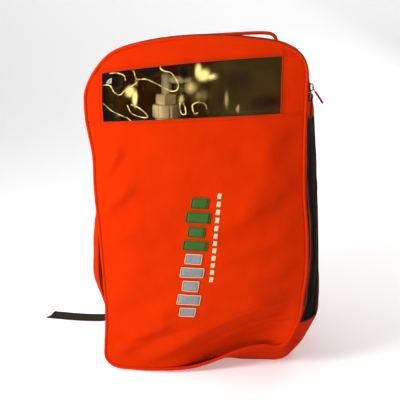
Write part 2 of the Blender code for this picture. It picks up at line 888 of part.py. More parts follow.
def build_filter():
    inner_x = DEVICE_HALF_WIDTH - CASING_WALL - 3 * GAP
    box(
        "intake_filter",
        (inner_x - 0.013, FILTER_LOW[0] + 0.0006, FILTER_LOW[1] + 0.0006),
        (inner_x, FILTER_HIGH[0] - 0.0006, FILTER_HIGH[1] - 0.0006),
        FOAM,
    )
    cover = box(
        "filter_cover",
        (DEVICE_HALF_WIDTH + GAP, FILTER_LOW[0] - 0.005, FILTER_LOW[1] - 0.007),
        (DEVICE_HALF_WIDTH + 0.0040, FILTER_HIGH[0] + 0.004, FILTER_HIGH[1] + 0.007),
        DARK_PLASTIC,
        0.0012,
        1,
    )
    slots = [
        box(
            f"grille_slot_{i}",
            (0.09, FILTER_LOW[0], FILTER_LOW[1] + 0.004 + i * 0.0076),
            (0.12, FILTER_HIGH[0] - 0.001, FILTER_LOW[1] + 0.0075 + i * 0.0076),
        )
        for i in range(6)
    ]
    cut(cover, *slots)


# ---------------------------------------------------------------- device: frame and compressor
SHAFT_Z = DEVICE_BASE_Z + 0.046
SHELF_Z = DEVICE_BASE_Z + 0.096
SHELF_TOP_Z = SHELF_Z + 0.0025
CRANK_THROW = 0.003
LEFT_CYLINDER_Y = -0.034
RIGHT_CYLINDER_Y = -0.018
CRANKCASE_HALF = 0.025
TRAY_TOP = 0.0080


def build_chassis():
    """The moulded frame: a tray, a shelf over the compressor, a divider, posts and a battery shelf."""
    inset = CASING_WALL + 0.0030
    inner_x = DEVICE_HALF_WIDTH - inset
    low_y, high_y = DEVICE_FRONT_Y + inset, DEVICE_BACK_Y - inset
    tray_low, tray_high = DEVICE_BASE_Z + 0.0055, DEVICE_BASE_Z + TRAY_TOP
    tray = box("chassis", (-inner_x, low_y, tray_low), (inner_x, high_y, tray_high), DARK_PLASTIC)
    shelf = box("shelf", (-inner_x, low_y, SHELF_Z), (inner_x, high_y, SHELF_TOP_Z))
    divider = box("divider", (-inner_x, -0.0018, SHELF_Z + 0.001), (inner_x, 0.0006, 0.3300))
    posts = [
        box(f"post_{i}", (x, -0.0052, tray_low + 0.0005), (x + 0.005, -0.0008, SHELF_Z + 0.001))
        for i, x in enumerate((-inner_x, inner_x - 0.005))
    ]
    hose_holes = [
        cylinder(f"hose_hole_{i}", (x, -0.022, SHELF_Z), "Z", 0.006, 0.02, sides=16)
        for i, x in enumerate((-0.062, -0.022))
    ]
    battery_shelf = box("battery_shelf", (0.0200, 0.0, 0.1962), (0.0940, 0.0440, 0.1990))
    bridge_hole = box(
        "bridge_hole",
        (-0.0808, -0.01, SHELF_TOP_Z + 0.0012),
        (-0.0192, 0.01, SHELF_TOP_Z + 0.0118),
    )
    unite(tray, shelf, divider, battery_shelf, *posts)
    cut(tray, bridge_hole, *hose_holes)


def build_compressor():
    """An opposed twin-piston compressor on a rubber mat, with its motor behind it."""
    mat = box(
        "isolation_mat",
        (-0.034, -0.0485, DEVICE_BASE_Z + TRAY_TOP + GAP),
        (0.034, 0.0360, SHAFT_Z - CRANKCASE_HALF - GAP),
        RUBBER,
    )
    low_z, high_z = DEVICE_BASE_Z + TRAY_TOP + 0.0032, SHAFT_Z - CRANKCASE_HALF - 0.0032
    hollows = [
        box("mat_hollow_x", (-0.05, -0.0330, low_z), (0.05, 0.0200, high_z)),
        box("mat_hollow_y", (-0.0180, -0.06, low_z), (0.0180, 0.05, high_z)),
    ]
    cut(mat, *hollows)

    case_low = (-CRANKCASE_HALF, -0.0505, SHAFT_Z - CRANKCASE_HALF)
    case_high = (CRANKCASE_HALF, -0.0035, SHAFT_Z + CRANKCASE_HALF)
    case = box("compressor_crankcase", case_low, case_high, ALUMINIUM, 0.002, 1)
    wall = 0.0030
    inside = box(
        "crankcase_inside",
        [value + wall for value in case_low],
        [value - wall for value in case_high],
    )
    holes = [
        cylinder("shaft_hole", (0, -0.005, SHAFT_Z), "Y", 0.0055, 0.02),
        cylinder("left_rod_hole", (-0.024, LEFT_CYLINDER_Y, SHAFT_Z), "X", 0.0100, 0.02),
        cylinder("right_rod_hole", (0.024, RIGHT_CYLINDER_Y, SHAFT_Z), "X", 0.0100, 0.02),
    ]
    cut(case, inside, *holes)
    for side, sign, y in (("left", -1, LEFT_CYLINDER_Y), ("right", 1, RIGHT_CYLINDER_Y)):
        build_cylinder(side, sign, y)
        build_piston(side, sign, y)

    shaft = cylinder("crankshaft", (0, -0.0050, SHAFT_Z), "Y", 0.0040, 0.078, STEEL, 16)
    throws = [
        cylinder("left_throw", (0, LEFT_CYLINDER_Y, SHAFT_Z + CRANK_THROW), "Y", 0.007, 0.009),
        cylinder("right_throw", (0, RIGHT_CYLINDER_Y, SHAFT_Z - CRANK_THROW), "Y", 0.007, 0.009),
        cylinder("motor_magnet", (0, 0.0170, SHAFT_Z), "Y", 0.0150, 0.026),
    ]
    unite(shaft, *throws)

    motor = cylinder("motor_housing", (0, 0.0185, SHAFT_Z), "Y", 0.0248, 0.0430, STEEL, 32)
    motor_inside = cylinder("motor_inside", (0, 0.0125, SHAFT_Z), "Y", 0.0175, 0.0490, sides=32)
    cut(motor, motor_inside)


def build_cylinder(side, sign, y):
    """A cylinder that is open towards the crankcase, with a finned head at its outer end."""
    start, head, end = CRANKCASE_HALF + GAP, 0.056, 0.068
    centre = (sign * (start + head) / 2, y, SHAFT_Z)
    barrel = cylinder(f"cylinder_head_{side}", centre, "X", 0.0160, head - start, ALUMINIUM, 28)
    block = box(
        f"head_block_{side}",
        (min(sign * (head - 0.002), sign * end), y - 0.017, SHAFT_Z - 0.017),
        (max(sign * (head - 0.002), sign * end), y + 0.017, SHAFT_Z + 0.017),
    )
    fins = [
        box(
            f"fin_gap_{side}_{i}",
            (min(sign * 0.0620, sign * 0.08), y - 0.02, SHAFT_Z - 0.0125 + i * 0.0068),
            (max(sign * 0.0620, sign * 0.08), y + 0.02, SHAFT_Z - 0.0090 + i * 0.0068),
        )
        for i in range(4)
    ]
    bore = cylinder(f"bore_{side}", (sign * 0.035, y, SHAFT_Z), "X", 0.0132, 0.034, sides=28)
    unite(barrel, block)
    cut(barrel, bore, *fins)


def build_piston(side, sign, y):
    """A piston on a rigid rod, whose big end rings the crank throw with room all round."""
    ring = cylinder(f"piston_{side}", (0, y, SHAFT_Z), "Y", 0.0168, 0.009, ALUMINIUM, 28)
    rod = box(
        f"rod_{side}",
        (min(sign * 0.0150, sign * 0.0390), y - 0.004, SHAFT_Z - 0.004),
        (max(sign * 0.0150, sign * 0.0390), y + 0.004, SHAFT_Z + 0.004),
    )
    crown = cylinder(f"piston_crown_{side}", (sign * 0.0410, y, SHAFT_Z), "X", 0.0128, 0.006)
    throw_room = cylinder(f"throw_room_{side}", (0, y, SHAFT_Z), "Y", 0.0137, 0.02, sides=28)
    unite(ring, crown, rod)
    cut(ring, throw_room)


# ---------------------------------------------------------------- device: air path
BED_LENGTH = 0.146
BED_PROFILE = (
    (0, BED_LENGTH),
    (0.0193, BED_LENGTH),
    (0.0193, BED_LENGTH - 0.009),
    (0.0180, BED_LENGTH - 0.010),
    (0.0180, 0.010),
    (0.0193, 0.009),
    (0.0193, 0.0),
    (0, 0.0),
)


def build_air_path():
    foot_z = SHELF_TOP_Z + GAP
    block_top = foot_z + 0.0340
    for side, x in (("left", -0.0745), ("right", -0.0335)):
        turned(f"sieve_bed_{side}", (x, 0.0245, block_top + 0.0005), BED_PROFILE, ALUMINIUM)
    block = box(
        "valve_manifold",
        (-0.0920, 0.0080, foot_z + 0.0050),
        (-0.0150, 0.0410, block_top),
        DARK_PLASTIC,
    )
    foot = box("manifold_foot", (-0.0900, 0.0100, foot_z), (-0.0170, 0.0380, foot_z + 0.0060))
    valve_row = box("valve_row", (-0.0860, -0.0380, foot_z), (-0.0100, -0.0080, foot_z + 0.0120))
    bridge = box(
        "manifold_bridge", (-0.0800, -0.0200, foot_z + 0.0016), (-0.0200, 0.0200, foot_z + 0.0106)
    )
    solenoids = [
        cylinder(f"solenoid_{i}", (x, -0.0230, foot_z + 0.0251), "Z", 0.0100, 0.034)
        for i, x in enumerate((-0.0740, -0.0480, -0.0220))
    ]
    unite(block, foot, bridge, valve_row, *solenoids)
    tank = cylinder(
        "product_tank", (0.055, -0.0280, 0.1965), "Z", 0.0170, 0.0910, ALUMINIUM, 28
    )
    bevel(tank, 0.004, 2)
    hose = smooth_route(
        [
            Vector((0.055, -0.0280, 0.2424)),
            Vector((0.052, -0.0275, 0.2560)),
            Vector((0.030, -0.0265, 0.2720)),
            Vector((-0.006, -0.0260, 0.2830)),
            Vector((-0.034, -0.0265, 0.2960)),
            Vector((-0.0455, -0.0270, 0.3110)),
            Vector((-0.046, -0.0270, 0.3246)),
        ],
        4,
    )
    tube("product_hose", hose, 0.0035, SILICONE, roundness=2)


def build_fan():
    """The cooling fan behind the slots at the left: a square frame, three struts and a rotor."""
    low_x, high_x = -0.0965, -0.0865
    centre_x = (low_x + high_x) / 2
    frame = box(
        "fan_frame",
        (low_x, FAN_Y - FAN_HALF, FAN_Z - FAN_HALF),
        (high_x, FAN_Y + FAN_HALF, FAN_Z + FAN_HALF),
        DARK_PLASTIC,
        0.001,
        1,
    )
    cut(frame, cylinder("fan_bore", (centre_x, FAN_Y, FAN_Z), "X", FAN_R, 0.03, sides=32))
    hub = cylinder("fan_motor_plate", (high_x - 0.001, FAN_Y, FAN_Z), "X", 0.0085, 0.0018)
    struts = [
        box("strut_y", (high_x - 0.0018, FAN_Y - 0.0205, FAN_Z - 0.0012),
            (high_x - 0.0002, FAN_Y + 0.0205, FAN_Z + 0.0012)),
        box("strut_z", (high_x - 0.0017, FAN_Y - 0.0012, FAN_Z - 0.0205),
            (high_x - 0.0003, FAN_Y + 0.0012, FAN_Z + 0.0205)),
    ]
    unite(frame, hub, *struts)

    rotor_centre = Vector((centre_x - 0.0012, FAN_Y, FAN_Z))
    rotor = cylinder("fan_rotor", rotor_centre, "X", 0.0080, 0.0062, DARK_PLASTIC)
    blade_count = 7
    for i in range(blade_count):
        blade = box(f"fan_blade_{i}", (-0.0004, -0.0036, 0.0070), (0.0004, 0.0036, 0.0184))
        pitch = Matrix.Rotation(math.radians(48), 4, "Z")
        turn = Matrix.Rotation(2 * math.pi * i / blade_count, 4, "X")
        blade.matrix_world = (
            Matrix.Translation(rotor_centre) @ turn @ Matrix.Translation(blade.location) @ pitch
        )
        unite(rotor, blade)


def build_outlet():
    """The oxygen outlet on the top: a union nut on a flanged neck, with an elbow and a barb."""
    profile = (
        (0, 0.0640), (0.0050, 0.0630), (0.0068, 0.0600), (0.0068, 0.0360), (0.0105, 0.0358),
        (0.0105, 0.0054), (0.0150, 0.0052), (0.0150, 0.0008), (0.0080, 0.0006),
        (0.0080, -0.0200), (0, -0.0200),
    )
    fitting = turned("outlet_fitting", (OUTLET_X, OUTLET_Y, DEVICE_TOP_Z), profile, CREAM_PLASTIC, 24)
    nut = cylinder(
        "union_nut", (OUTLET_X, OUTLET_Y, DEVICE_TOP_Z + 0.0300), "Z", 0.0150, 0.0120, sides=6
    )
    barb_z = DEVICE_TOP_Z + 0.0545
    arm = cylinder("elbow_arm", (OUTLET_X + 0.0110, OUTLET_Y, barb_z), "X", 0.0050, 0.022, sides=16)
    tip = cylinder(
        "barb", (OUTLET_X + 0.0260, OUTLET_Y, barb_z), "X", 0.0044, 0.012, sides=16,
        end_radius=0.0030,
    )
    unite(fitting, nut, arm, tip)
    collar = cylinder(
        "outlet_collar",
        (OUTLET_X, OUTLET_Y, DEVICE_TOP_Z + 0.0142),
        "Z", 0.0190, 0.0172, CREAM_PLASTIC, 32,
    )
    bevel(collar, 0.0025, 2)
    neck_room = cylinder(
        "neck_room", (OUTLET_X, OUTLET_Y, DEVICE_TOP_Z + 0.0142), "Z", 0.0110, 0.04, sides=24
    )
    notches = []
    for i in range(8):
        angle = 2 * math.pi * (i + 0.5) / 8
        x = OUTLET_X + 0.0205 * math.cos(angle)
        y = OUTLET_Y + 0.0205 * math.sin(angle)
        notches.append(cylinder(f"grip_{i}", (x, y, DEVICE_TOP_Z + 0.014), "Z", 0.0026, 0.04, sides=10))
    cut(collar, neck_room, *notches)


# ---------------------------------------------------------------- device: power and controls
def build_battery():
    pack = box("battery_pack", BATTERY_LOW, BATTERY_HIGH, DARK_PLASTIC, 0.002, 2)
    top = BATTERY_HIGH[2]
    recess = box("latch_recess", (0.0440, 0.0170, top - 0.0040), (0.0700, 0.0310, top + 0.01))
    cut(pack, recess)
    box(
        "battery_latch",
        (0.0445, 0.0175, top - 0.0036),
        (0.0645, 0.0305, top + 0.0016),
        GREEN_PLASTIC,
        0.0008,
        1,
    )


PANEL_BACK_Y = DEVICE_FRONT_Y - GAP
PANEL_FRONT_Y = PANEL_BACK_Y - 0.0016
POWER_BUTTON = (0.0300, 0.3050, 0.0090)
FLOW_DOWN_BUTTON = (-0.0340, 0.2915, 0.0046)
FLOW_UP_BUTTON = (-0.0120, 0.2915, 0.0046)


def build_controls():
    panel = box(
        "control_panel",
        (-0.0520, PANEL_FRONT_Y, 0.2780),
        (0.0520, PANEL_BACK_Y, 0.3320),
        DARK_PLASTIC,
        0.0006,
        1,
    )
    display = box("display", (-0.0440, PANEL_FRONT_Y - 0.0006, 0.3020), (-0.0020, -0.0560, 0.3240))
    unite(panel, display)
    board_front = -0.0445
    box("control_board", (-0.0800, board_front, 0.2640), (0.0800, -0.0429, 0.3340), BOARD_GREEN)
    for name, (x, z, radius), finish in (
        ("power_button", POWER_BUTTON, GREEN_PLASTIC),
        ("flow_down_button", FLOW_DOWN_BUTTON, CASING_PLASTIC),
        ("flow_up_button", FLOW_UP_BUTTON, CASING_PLASTIC),
    ):
        hole = cylinder(f"{name}_hole", (x, PANEL_FRONT_Y, z), "Y", radius + 0.0004, 0.02)
        cut(panel, hole)
        build_button(name, x, z, radius, board_front, finish)


def build_button(name, x, z, radius, board_front, finish):
    """A cap that stands proud of the panel, a flange that keeps it in, and a stem to its switch."""
    cap_front, flange_front, flange_back = PANEL_FRONT_Y - 0.0018, -0.0550, -0.0536
    stem_back = board_front - 0.0016
    cap = cylinder(
        name, (x, (cap_front + flange_front) / 2, z), "Y", radius, flange_front - cap_front, finish
    )
    flange = cylinder(
        f"{name}_flange", (x, (flange_front + flange_back) / 2 - 0.0001, z), "Y",
        radius + 0.0014, flange_back - flange_front + 0.0002,
    )
    stem = cylinder(
        f"{name}_stem", (x, (flange_back + stem_back) / 2 - 0.0005, z), "Y", 0.0028,
        stem_back - flange_back + 0.001, sides=12,
    )
    unite(cap, flange, stem)


# ---------------------------------------------------------------- what holds the device in the pack
def build_supports():
    top_z = DEVICE_BASE_Z - GAP
    box("foam_plinth", (-0.090, -0.020, SHELL_T + GAP), (0.090, 0.045, top_z), FOAM, 0.005, 1)
    low_y, high_y = DEVICE_FRONT_Y - 0.0025, DEVICE_BACK_Y + 0.0025
    belt_x = DEVICE_HALF_WIDTH + 0.0025
    belt = box(
        "retaining_belt",
        (-belt_x - 0.0015, low_y - 0.0015, 0.2250),
        (belt_x + 0.0015, high_y + 0.0015, 0.2500),
        BLACK_WEBBING,
    )
    inside = box("belt_inside", (-belt_x, low_y, 0.2), (belt_x, high_y, 0.3))
    cut(belt, inside)


build_shell()
build_flap()
build_zip()
build_handle()
build_straps()
build_tails()
build_casing()
build_filter()
build_chassis()
build_compressor()
build_air_path()
build_fan()
build_outlet()
build_battery()
build_controls()
build_supports()
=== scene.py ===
import json
import math

import bmesh
import bpy
import numpy as np
from mathutils import Matrix, Vector, noise
from mathutils.bvhtree import BVHTree


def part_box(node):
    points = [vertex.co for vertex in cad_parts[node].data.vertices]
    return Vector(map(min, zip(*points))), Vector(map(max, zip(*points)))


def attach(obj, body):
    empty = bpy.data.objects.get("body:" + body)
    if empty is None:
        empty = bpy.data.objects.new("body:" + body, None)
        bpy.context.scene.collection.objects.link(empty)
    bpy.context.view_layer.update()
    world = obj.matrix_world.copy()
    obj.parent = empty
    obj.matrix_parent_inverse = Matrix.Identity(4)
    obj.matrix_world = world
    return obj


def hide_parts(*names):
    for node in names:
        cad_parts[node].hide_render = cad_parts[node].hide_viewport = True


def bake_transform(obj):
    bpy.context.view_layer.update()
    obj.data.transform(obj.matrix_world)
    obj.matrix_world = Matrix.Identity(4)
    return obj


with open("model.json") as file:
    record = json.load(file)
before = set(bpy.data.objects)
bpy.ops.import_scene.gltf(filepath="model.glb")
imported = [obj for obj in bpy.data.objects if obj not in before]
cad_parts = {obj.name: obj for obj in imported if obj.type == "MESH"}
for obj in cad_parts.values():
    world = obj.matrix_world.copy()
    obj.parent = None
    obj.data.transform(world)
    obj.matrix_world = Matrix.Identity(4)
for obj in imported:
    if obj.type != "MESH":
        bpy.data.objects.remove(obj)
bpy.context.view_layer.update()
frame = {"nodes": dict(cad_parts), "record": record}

# ---------------------------------------------------------------- camera, floor and light
# The pack stands on a plain pale floor that curves up behind it. The camera looks down on its front
# from a little to the right. A soft light close by on the left leaves its right side darker, and
# weaker ones hang over it and behind it.
CAMERA_PLACE = (0.0786, -0.7956, 0.46)
CAMERA_TURN = math.radians(6.0)
CAMERA_DIP = math.radians(16.0)

camera_data = bpy.data.cameras.new("camera")
camera_data.lens = 53.1
camera = bpy.data.objects.new("camera", camera_data)
camera.location = CAMERA_PLACE
camera.rotation_euler = (math.pi / 2 - CAMERA_DIP, 0, CAMERA_TURN)
bpy.context.scene.collection.objects.link(camera)
bpy.context.scene.camera = camera
bpy.context.scene.view_settings.view_transform = "Standard"


def principled(name, colour, roughness, metallic=0.0, **constants):
    """A material whose even values are set on the shader's own sockets."""
    made = bpy.data.materials.new(name)
    made.use_nodes = True
    shader = made.node_tree.nodes["Principled BSDF"]
    shader.inputs["Base Color"].default_value = (*colour, 1)
    shader.inputs["Roughness"].default_value = roughness
    shader.inputs["Metallic"].default_value = metallic
    for socket, value in constants.items():
        shader.inputs[socket.replace("_", " ")].default_value = value
    return made


def add_mesh(name, verts, faces, finishes):
    """A smooth-shaded piece from its points and faces."""
    mesh = bpy.data.meshes.new(name)
    mesh.from_pydata([tuple(v) for v in verts], [], faces)
    mesh.validate()
    mesh.shade_smooth()
    piece = bpy.data.objects.new(name, mesh)
    for finish in finishes:
        mesh.materials.append(finish)
    bpy.context.scene.collection.objects.link(piece)
    return piece


def grid_faces(rows, columns, closed=False, keep=None):
    """Quads between the points of a grid, as (row, column); closed joins the last column to the first."""
    faces = []
    for i in range(rows - 1):
        for j in range(columns if closed else columns - 1):
            if keep is None or keep(i, j):
                k = (j + 1) % columns
                faces.append(
                    (i * columns + j, i * columns + k, (i + 1) * columns + k, (i + 1) * columns + j)
                )
    return faces


def lay_floor():
    """A floor sheet that sweeps up behind the pack, and up again far in front of it."""
    profile = [(-9.0, 4.0), (-8.2, 0.3), (-7.0, 0.0), (1.2, 0.0)]
    profile += [(1.2 + 0.8 * math.sin(a), 0.8 - 0.8 * math.cos(a)) for a in np.linspace(0.2, 1.5, 8)]
    profile += [(2.0, 4.0)]
    verts = [(x, y, z) for y, z in profile for x in (-8.0, 8.0)]
    floor = add_mesh(
        "floor",
        verts,
        grid_faces(len(profile), 2),
        [principled("pale_floor", (0.9, 0.9, 0.9), 0.8, Emission_Color=(1, 1, 1, 1), Emission_Strength=0.30)],
    )


def hang_light(name, place, aim, size, power):
    """A square soft light: its side in metres and its power in watts."""
    data = bpy.data.lights.new(name, "AREA")
    data.size = size
    data.energy = power
    light = bpy.data.objects.new(name, data)
    light.location = place
    light.rotation_euler = (Vector(aim) - Vector(place)).to_track_quat("-Z", "Y").to_euler()
    bpy.context.scene.collection.objects.link(light)


lay_floor()
hang_light("key", (-0.74, -0.66, 0.62), (0, 0, 0.2), 0.30, 12)
hang_light("top", (-0.3, -0.1, 1.7), (0, 0, 0.3), 1.0, 7)
hang_light("back", (0.9, 1.5, 0.9), (0, 0, 0.2), 0.5, 8)
world = bpy.data.worlds.new("studio")
world.use_nodes = True
world.node_tree.nodes["Background"].inputs["Color"].default_value = (1, 1, 1, 1)
world.node_tree.nodes["Background"].inputs["Strength"].default_value = 0.20
bpy.context.scene.world = world

# ---------------------------------------------------------------- free ends of the strap webbing
# 25 mm woven polyester webbing, cut at a slant and heat sealed. Each end comes out of its ladder
# lock behind the pack; the left one twists as it falls and lies out on the floor beside the pack.
WEBBING_WIDTH = 0.025
WEBBING_T = 0.0016
TAIL_CUT = 0.014
TAIL_ROUTES = {
    "left": (
        (-0.1350, 0.1030, 0.1150),
        (-0.1340, 0.1060, 0.0900),
        (-0.1330, 0.1035, 0.0640),
        (-0.1340, 0.0970, 0.0400),
        (-0.1390, 0.0890, 0.0200),
        (-0.1510, 0.0810, 0.0068),
        (-0.1680, 0.0745, 0.0020),
        (-0.1900, 0.0715, 0.0014),
        (-0.2150, 0.0710, 0.0014),
        (-0.2400, 0.0725, 0.0014),
        (-0.2680, 0.0750, 0.0014),
    ),
    "right": (
        (0.1350, 0.1030, 0.1150),
        (0.1350, 0.1075, 0.0900),
        (0.1345, 0.1110, 0.0640),
        (0.1340, 0.1150, 0.0380),
        (0.1335, 0.1230, 0.0160),
        (0.1330, 0.1400, 0.0040),
        (0.1325, 0.1600, 0.0014),
        (0.1320, 0.1800, 0.0014),
    ),
}


def node_group(name, inputs):
    """An empty shader node group with named inputs (value or colour), for a colour, a height and a
    roughness that change over a surface."""
    group = bpy.data.node_groups.new(name, "ShaderNodeTree")
    for socket, default in inputs.items():
        kind = "NodeSocketColor" if isinstance(default, tuple) else "NodeSocketFloat"
        made = group.interface.new_socket(socket, in_out="INPUT", socket_type=kind)
        made.default_value = (*default, 1) if isinstance(default, tuple) else default
    for socket, kind in (("Colour", "Color"), ("Height", "Float"), ("Roughness", "Float")):
        group.interface.new_socket(socket, in_out="OUTPUT", socket_type=f"NodeSocket{kind}")
    return group, group.nodes.new("NodeGroupInput")


def put_out(group, colour, height, roughness):
    """Ends a group with its three outputs."""
    out = group.nodes.new("NodeGroupOutput")
    for socket, value in (("Colour", colour), ("Height", height), ("Roughness", roughness)):
        group.links.new(value, out.inputs[socket])
    return group


def math_node(tree, operation, *values, clamp=False):
    """A Math node whose inputs are numbers or other nodes' outputs; returns its output."""
    node = tree.nodes.new("ShaderNodeMath")
    node.operation = operation
    node.use_clamp = clamp
    for socket, value in zip(node.inputs, values):
        if isinstance(value, (int, float)):
            socket.default_value = value
        else:
            tree.links.new(value, socket)
    return node.outputs[0]


def scaled(tree, value, factor, offset=0.0):
    """value times factor, plus offset."""
    return math_node(tree, "ADD", math_node(tree, "MULTIPLY", value, factor), offset)


def object_place(tree):
    """The place on the object in metres, and its three parts."""
    place = tree.nodes.new("ShaderNodeTexCoord").outputs["Object"]
    split = tree.nodes.new("ShaderNodeSeparateXYZ")
    tree.links.new(place, split.inputs[0])
    return place, split.outputs


def noise_node(tree, coordinates, scale, detail=3.0, roughness=0.5, distortion=0.0):
    node = tree.nodes.new("ShaderNodeTexNoise")
    node.inputs["Scale"].default_value = scale
    node.inputs["Detail"].default_value = detail
    node.inputs["Roughness"].default_value = roughness
    node.inputs["Distortion"].default_value = distortion
    tree.links.new(coordinates, node.inputs["Vector"])
    return node.outputs["Fac"]


def mix_colours(tree, share, first, second):
    """A Mix node for colours; share, first and second are values or other nodes' outputs."""
    node = tree.nodes.new("ShaderNodeMix")
    node.data_type = "RGBA"
    for socket, value in zip((node.inputs[0], node.inputs[6], node.inputs[7]), (share, first, second)):
        if isinstance(value, (int, float, tuple)):
            socket.default_value = (*value, 1) if isinstance(value, tuple) else value
        else:
            tree.links.new(value, socket)
    return node.outputs[2]


def soft_step(tree, value, low, high):
    """0 below low, 1 above high, smooth between."""
    node = tree.nodes.new("ShaderNodeMapRange")
    node.interpolation_type = "SMOOTHSTEP"
    node.inputs["From Min"].default_value = low
    node.inputs["From Max"].default_value = high
    tree.links.new(value, node.inputs["Value"])
    return node.outputs["Result"]


def make_webbing_group():
    """Flat webbing: fine ribs along it, a herringbone across it, and threads that fade unevenly."""
    group, given = node_group(
        "webbing_weave",
        {"Thread": (0.009, 0.005, 0.002), "Faded": (0.040, 0.023, 0.006), "Rib pitch": 0.0011},
    )
    uv = group.nodes.new("ShaderNodeUVMap")
    uv.uv_map = "UVMap"
    split = group.nodes.new("ShaderNodeSeparateXYZ")
    group.links.new(uv.outputs[0], split.inputs[0])
    turns = math_node(group, "DIVIDE", 2 * math.pi, given.outputs["Rib pitch"])
    across = math_node(group, "MULTIPLY", split.outputs[0], turns)
    along = math_node(group, "MULTIPLY", split.outputs[1], turns)
    zigzag = math_node(group, "PINGPONG", split.outputs[0], 0.0032)
    slanted = math_node(group, "MULTIPLY", zigzag, math_node(group, "MULTIPLY", turns, 0.8))
    twill = math_node(group, "SINE", math_node(group, "ADD", along, slanted))
    ribs = math_node(group, "SINE", across)
    ribbed = math_node(group, "MULTIPLY", ribs, 0.15)
    height = math_node(group, "ADD", scaled(group, twill, 0.35, 0.5), ribbed)
    patches = noise_node(group, uv.outputs[0], 90, 4)
    share = math_node(group, "MULTIPLY", math_node(group, "MULTIPLY", height, patches), 1.3, clamp=True)
    colour = mix_colours(group, share, given.outputs["Thread"], given.outputs["Faded"])
    return put_out(group, colour, height, scaled(group, patches, 0.2, 0.62))


def with_surface(finish, group, bump, distance, settings=None):
    """Puts a surface group into a material: colour, roughness where it has one, and bump."""
    tree = finish.node_tree
    shader = tree.nodes["Principled BSDF"]
    surface = tree.nodes.new("ShaderNodeGroup")
    surface.node_tree = group
    for socket, value in (settings or {}).items():
        surface.inputs[socket].default_value = (*value, 1) if isinstance(value, tuple) else value
    relief = tree.nodes.new("ShaderNodeBump")
    relief.inputs["Strength"].default_value = bump
    relief.inputs["Distance"].default_value = distance
    tree.links.new(surface.outputs["Colour"], shader.inputs["Base Color"])
    tree.links.new(surface.outputs["Roughness"], shader.inputs["Roughness"])
    tree.links.new(surface.outputs["Height"], relief.inputs["Height"])
    tree.links.new(relief.outputs["Normal"], shader.inputs["Normal"])
    return finish


WEBBING_GROUP = make_webbing_group()
BLACK_WEBBING = with_surface(
    principled("black_webbing", (0.03, 0.02, 0.008), 0.7, Specular_IOR_Level=0.15), WEBBING_GROUP, 0.6, 0.0006
)


def smooth_route(points, steps):
    """A smooth curve through given points, read at even steps between each pair."""
    points = [Vector(p) for p in points]
    ends = [2 * points[0] - points[1], *points, 2 * points[-1] - points[-2]]
    route = []
    for before, start, end, after in zip(ends, ends[1:], ends[2:], ends[3:]):
        for step in range(steps):
            t = step / steps
            route.append(
                0.5 * (
                    2 * start
                    + (end - before) * t
                    + (2 * before - 5 * start + 4 * end - after) * t**2
                    + (3 * start - before - 3 * end + after) * t**3
                )
            )
    route.append(points[-1])
    return route


def belongs(piece, body):
    """A new piece moves with a body."""
    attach(piece, body)


def add_uv(piece, uvs):
    """Gives each corner the place across and along the strap of its point, in metres."""
    layer = piece.data.uv_layers.new(name="UVMap")
    for loop in piece.data.loops:
        layer.data[loop.index].uv = uvs[loop.vertex_index]


def strap(name, route, across, width, thickness, finish, slant=0.0, crown=0.0, columns=8):
    """A flat strap with rounded edges along a route: across(v) points along its width, width(v) is
    its width, and crown swells its middle. slant moves one corner of its far end back."""
    last = len(route) - 1
    edge = thickness * 0.45
    ring = []
    for k in range(columns + 1):
        ring.append((-0.5 + k / columns, 1))
    for k in range(columns + 1):
        ring.append((0.5 - k / columns, -1))
    verts, uvs = [], []
    travelled = 0.0
    for i, place in enumerate(route):
        v = i / last
        along = (route[min(i + 1, last)] - route[max(i - 1, 0)]).normalized()
        side = Vector(across(v))
        side = (side - along * side.dot(along)).normalized()
        normal = along.cross(side)
        if i:
            travelled += (place - route[i - 1]).length
        for u, face in ring:
            reach = abs(2 * u)
            inner = width(v) / 2 - edge
            offset = math.copysign(min(reach * width(v) / 2, inner + edge * 0.7), u) if u else 0.0
            lift = (thickness / 2 + crown * (1 - reach**2)) * (1.0 if reach < 0.99 else 0.35)
            cut_back = along * slant * (u + 0.5) if i == last else Vector()
            verts.append(place + side * offset + normal * face * lift - cut_back)
            uvs.append((offset, travelled))
    count = len(ring)
    faces = grid_faces(len(route), count, closed=True)
    faces.append(tuple(range(count)))
    faces.append(tuple(last * count + k for k in reversed(range(count))))
    piece = add_mesh(name, verts, faces, [finish])
    add_uv(piece, uvs)
    outward(piece)
    return piece


def outward(piece):
    """Turns a closed piece's faces outwards."""
    bm = bmesh.new()
    bm.from_mesh(piece.data)
    bmesh.ops.recalc_face_normals(bm, faces=bm.faces)
    bm.to_mesh(piece.data)
    bm.free()


def tail_across(v):
    """The left tail twists as it falls, so that it lies flat on the floor beside the pack."""
    twist = max(0.0, min(1.0, (v - 0.08) / 0.42))
    turn = math.radians(90) * twist * twist * (3 - 2 * twist)
    return Vector((math.cos(turn), math.sin(turn), 0))


for side, route_points in TAIL_ROUTES.items():
    tail_route = smooth_route(route_points, 6)
    tail = strap(
        f"webbing_tail_{side}",
        tail_route,
        tail_across if side == "left" else (lambda v: Vector((1, 0, 0))),
        lambda v: WEBBING_WIDTH,
        WEBBING_T,
        BLACK_WEBBING,
        slant=TAIL_CUT,
    )
    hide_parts(f"strap_tail_{side}")
    belongs(tail, "pack")

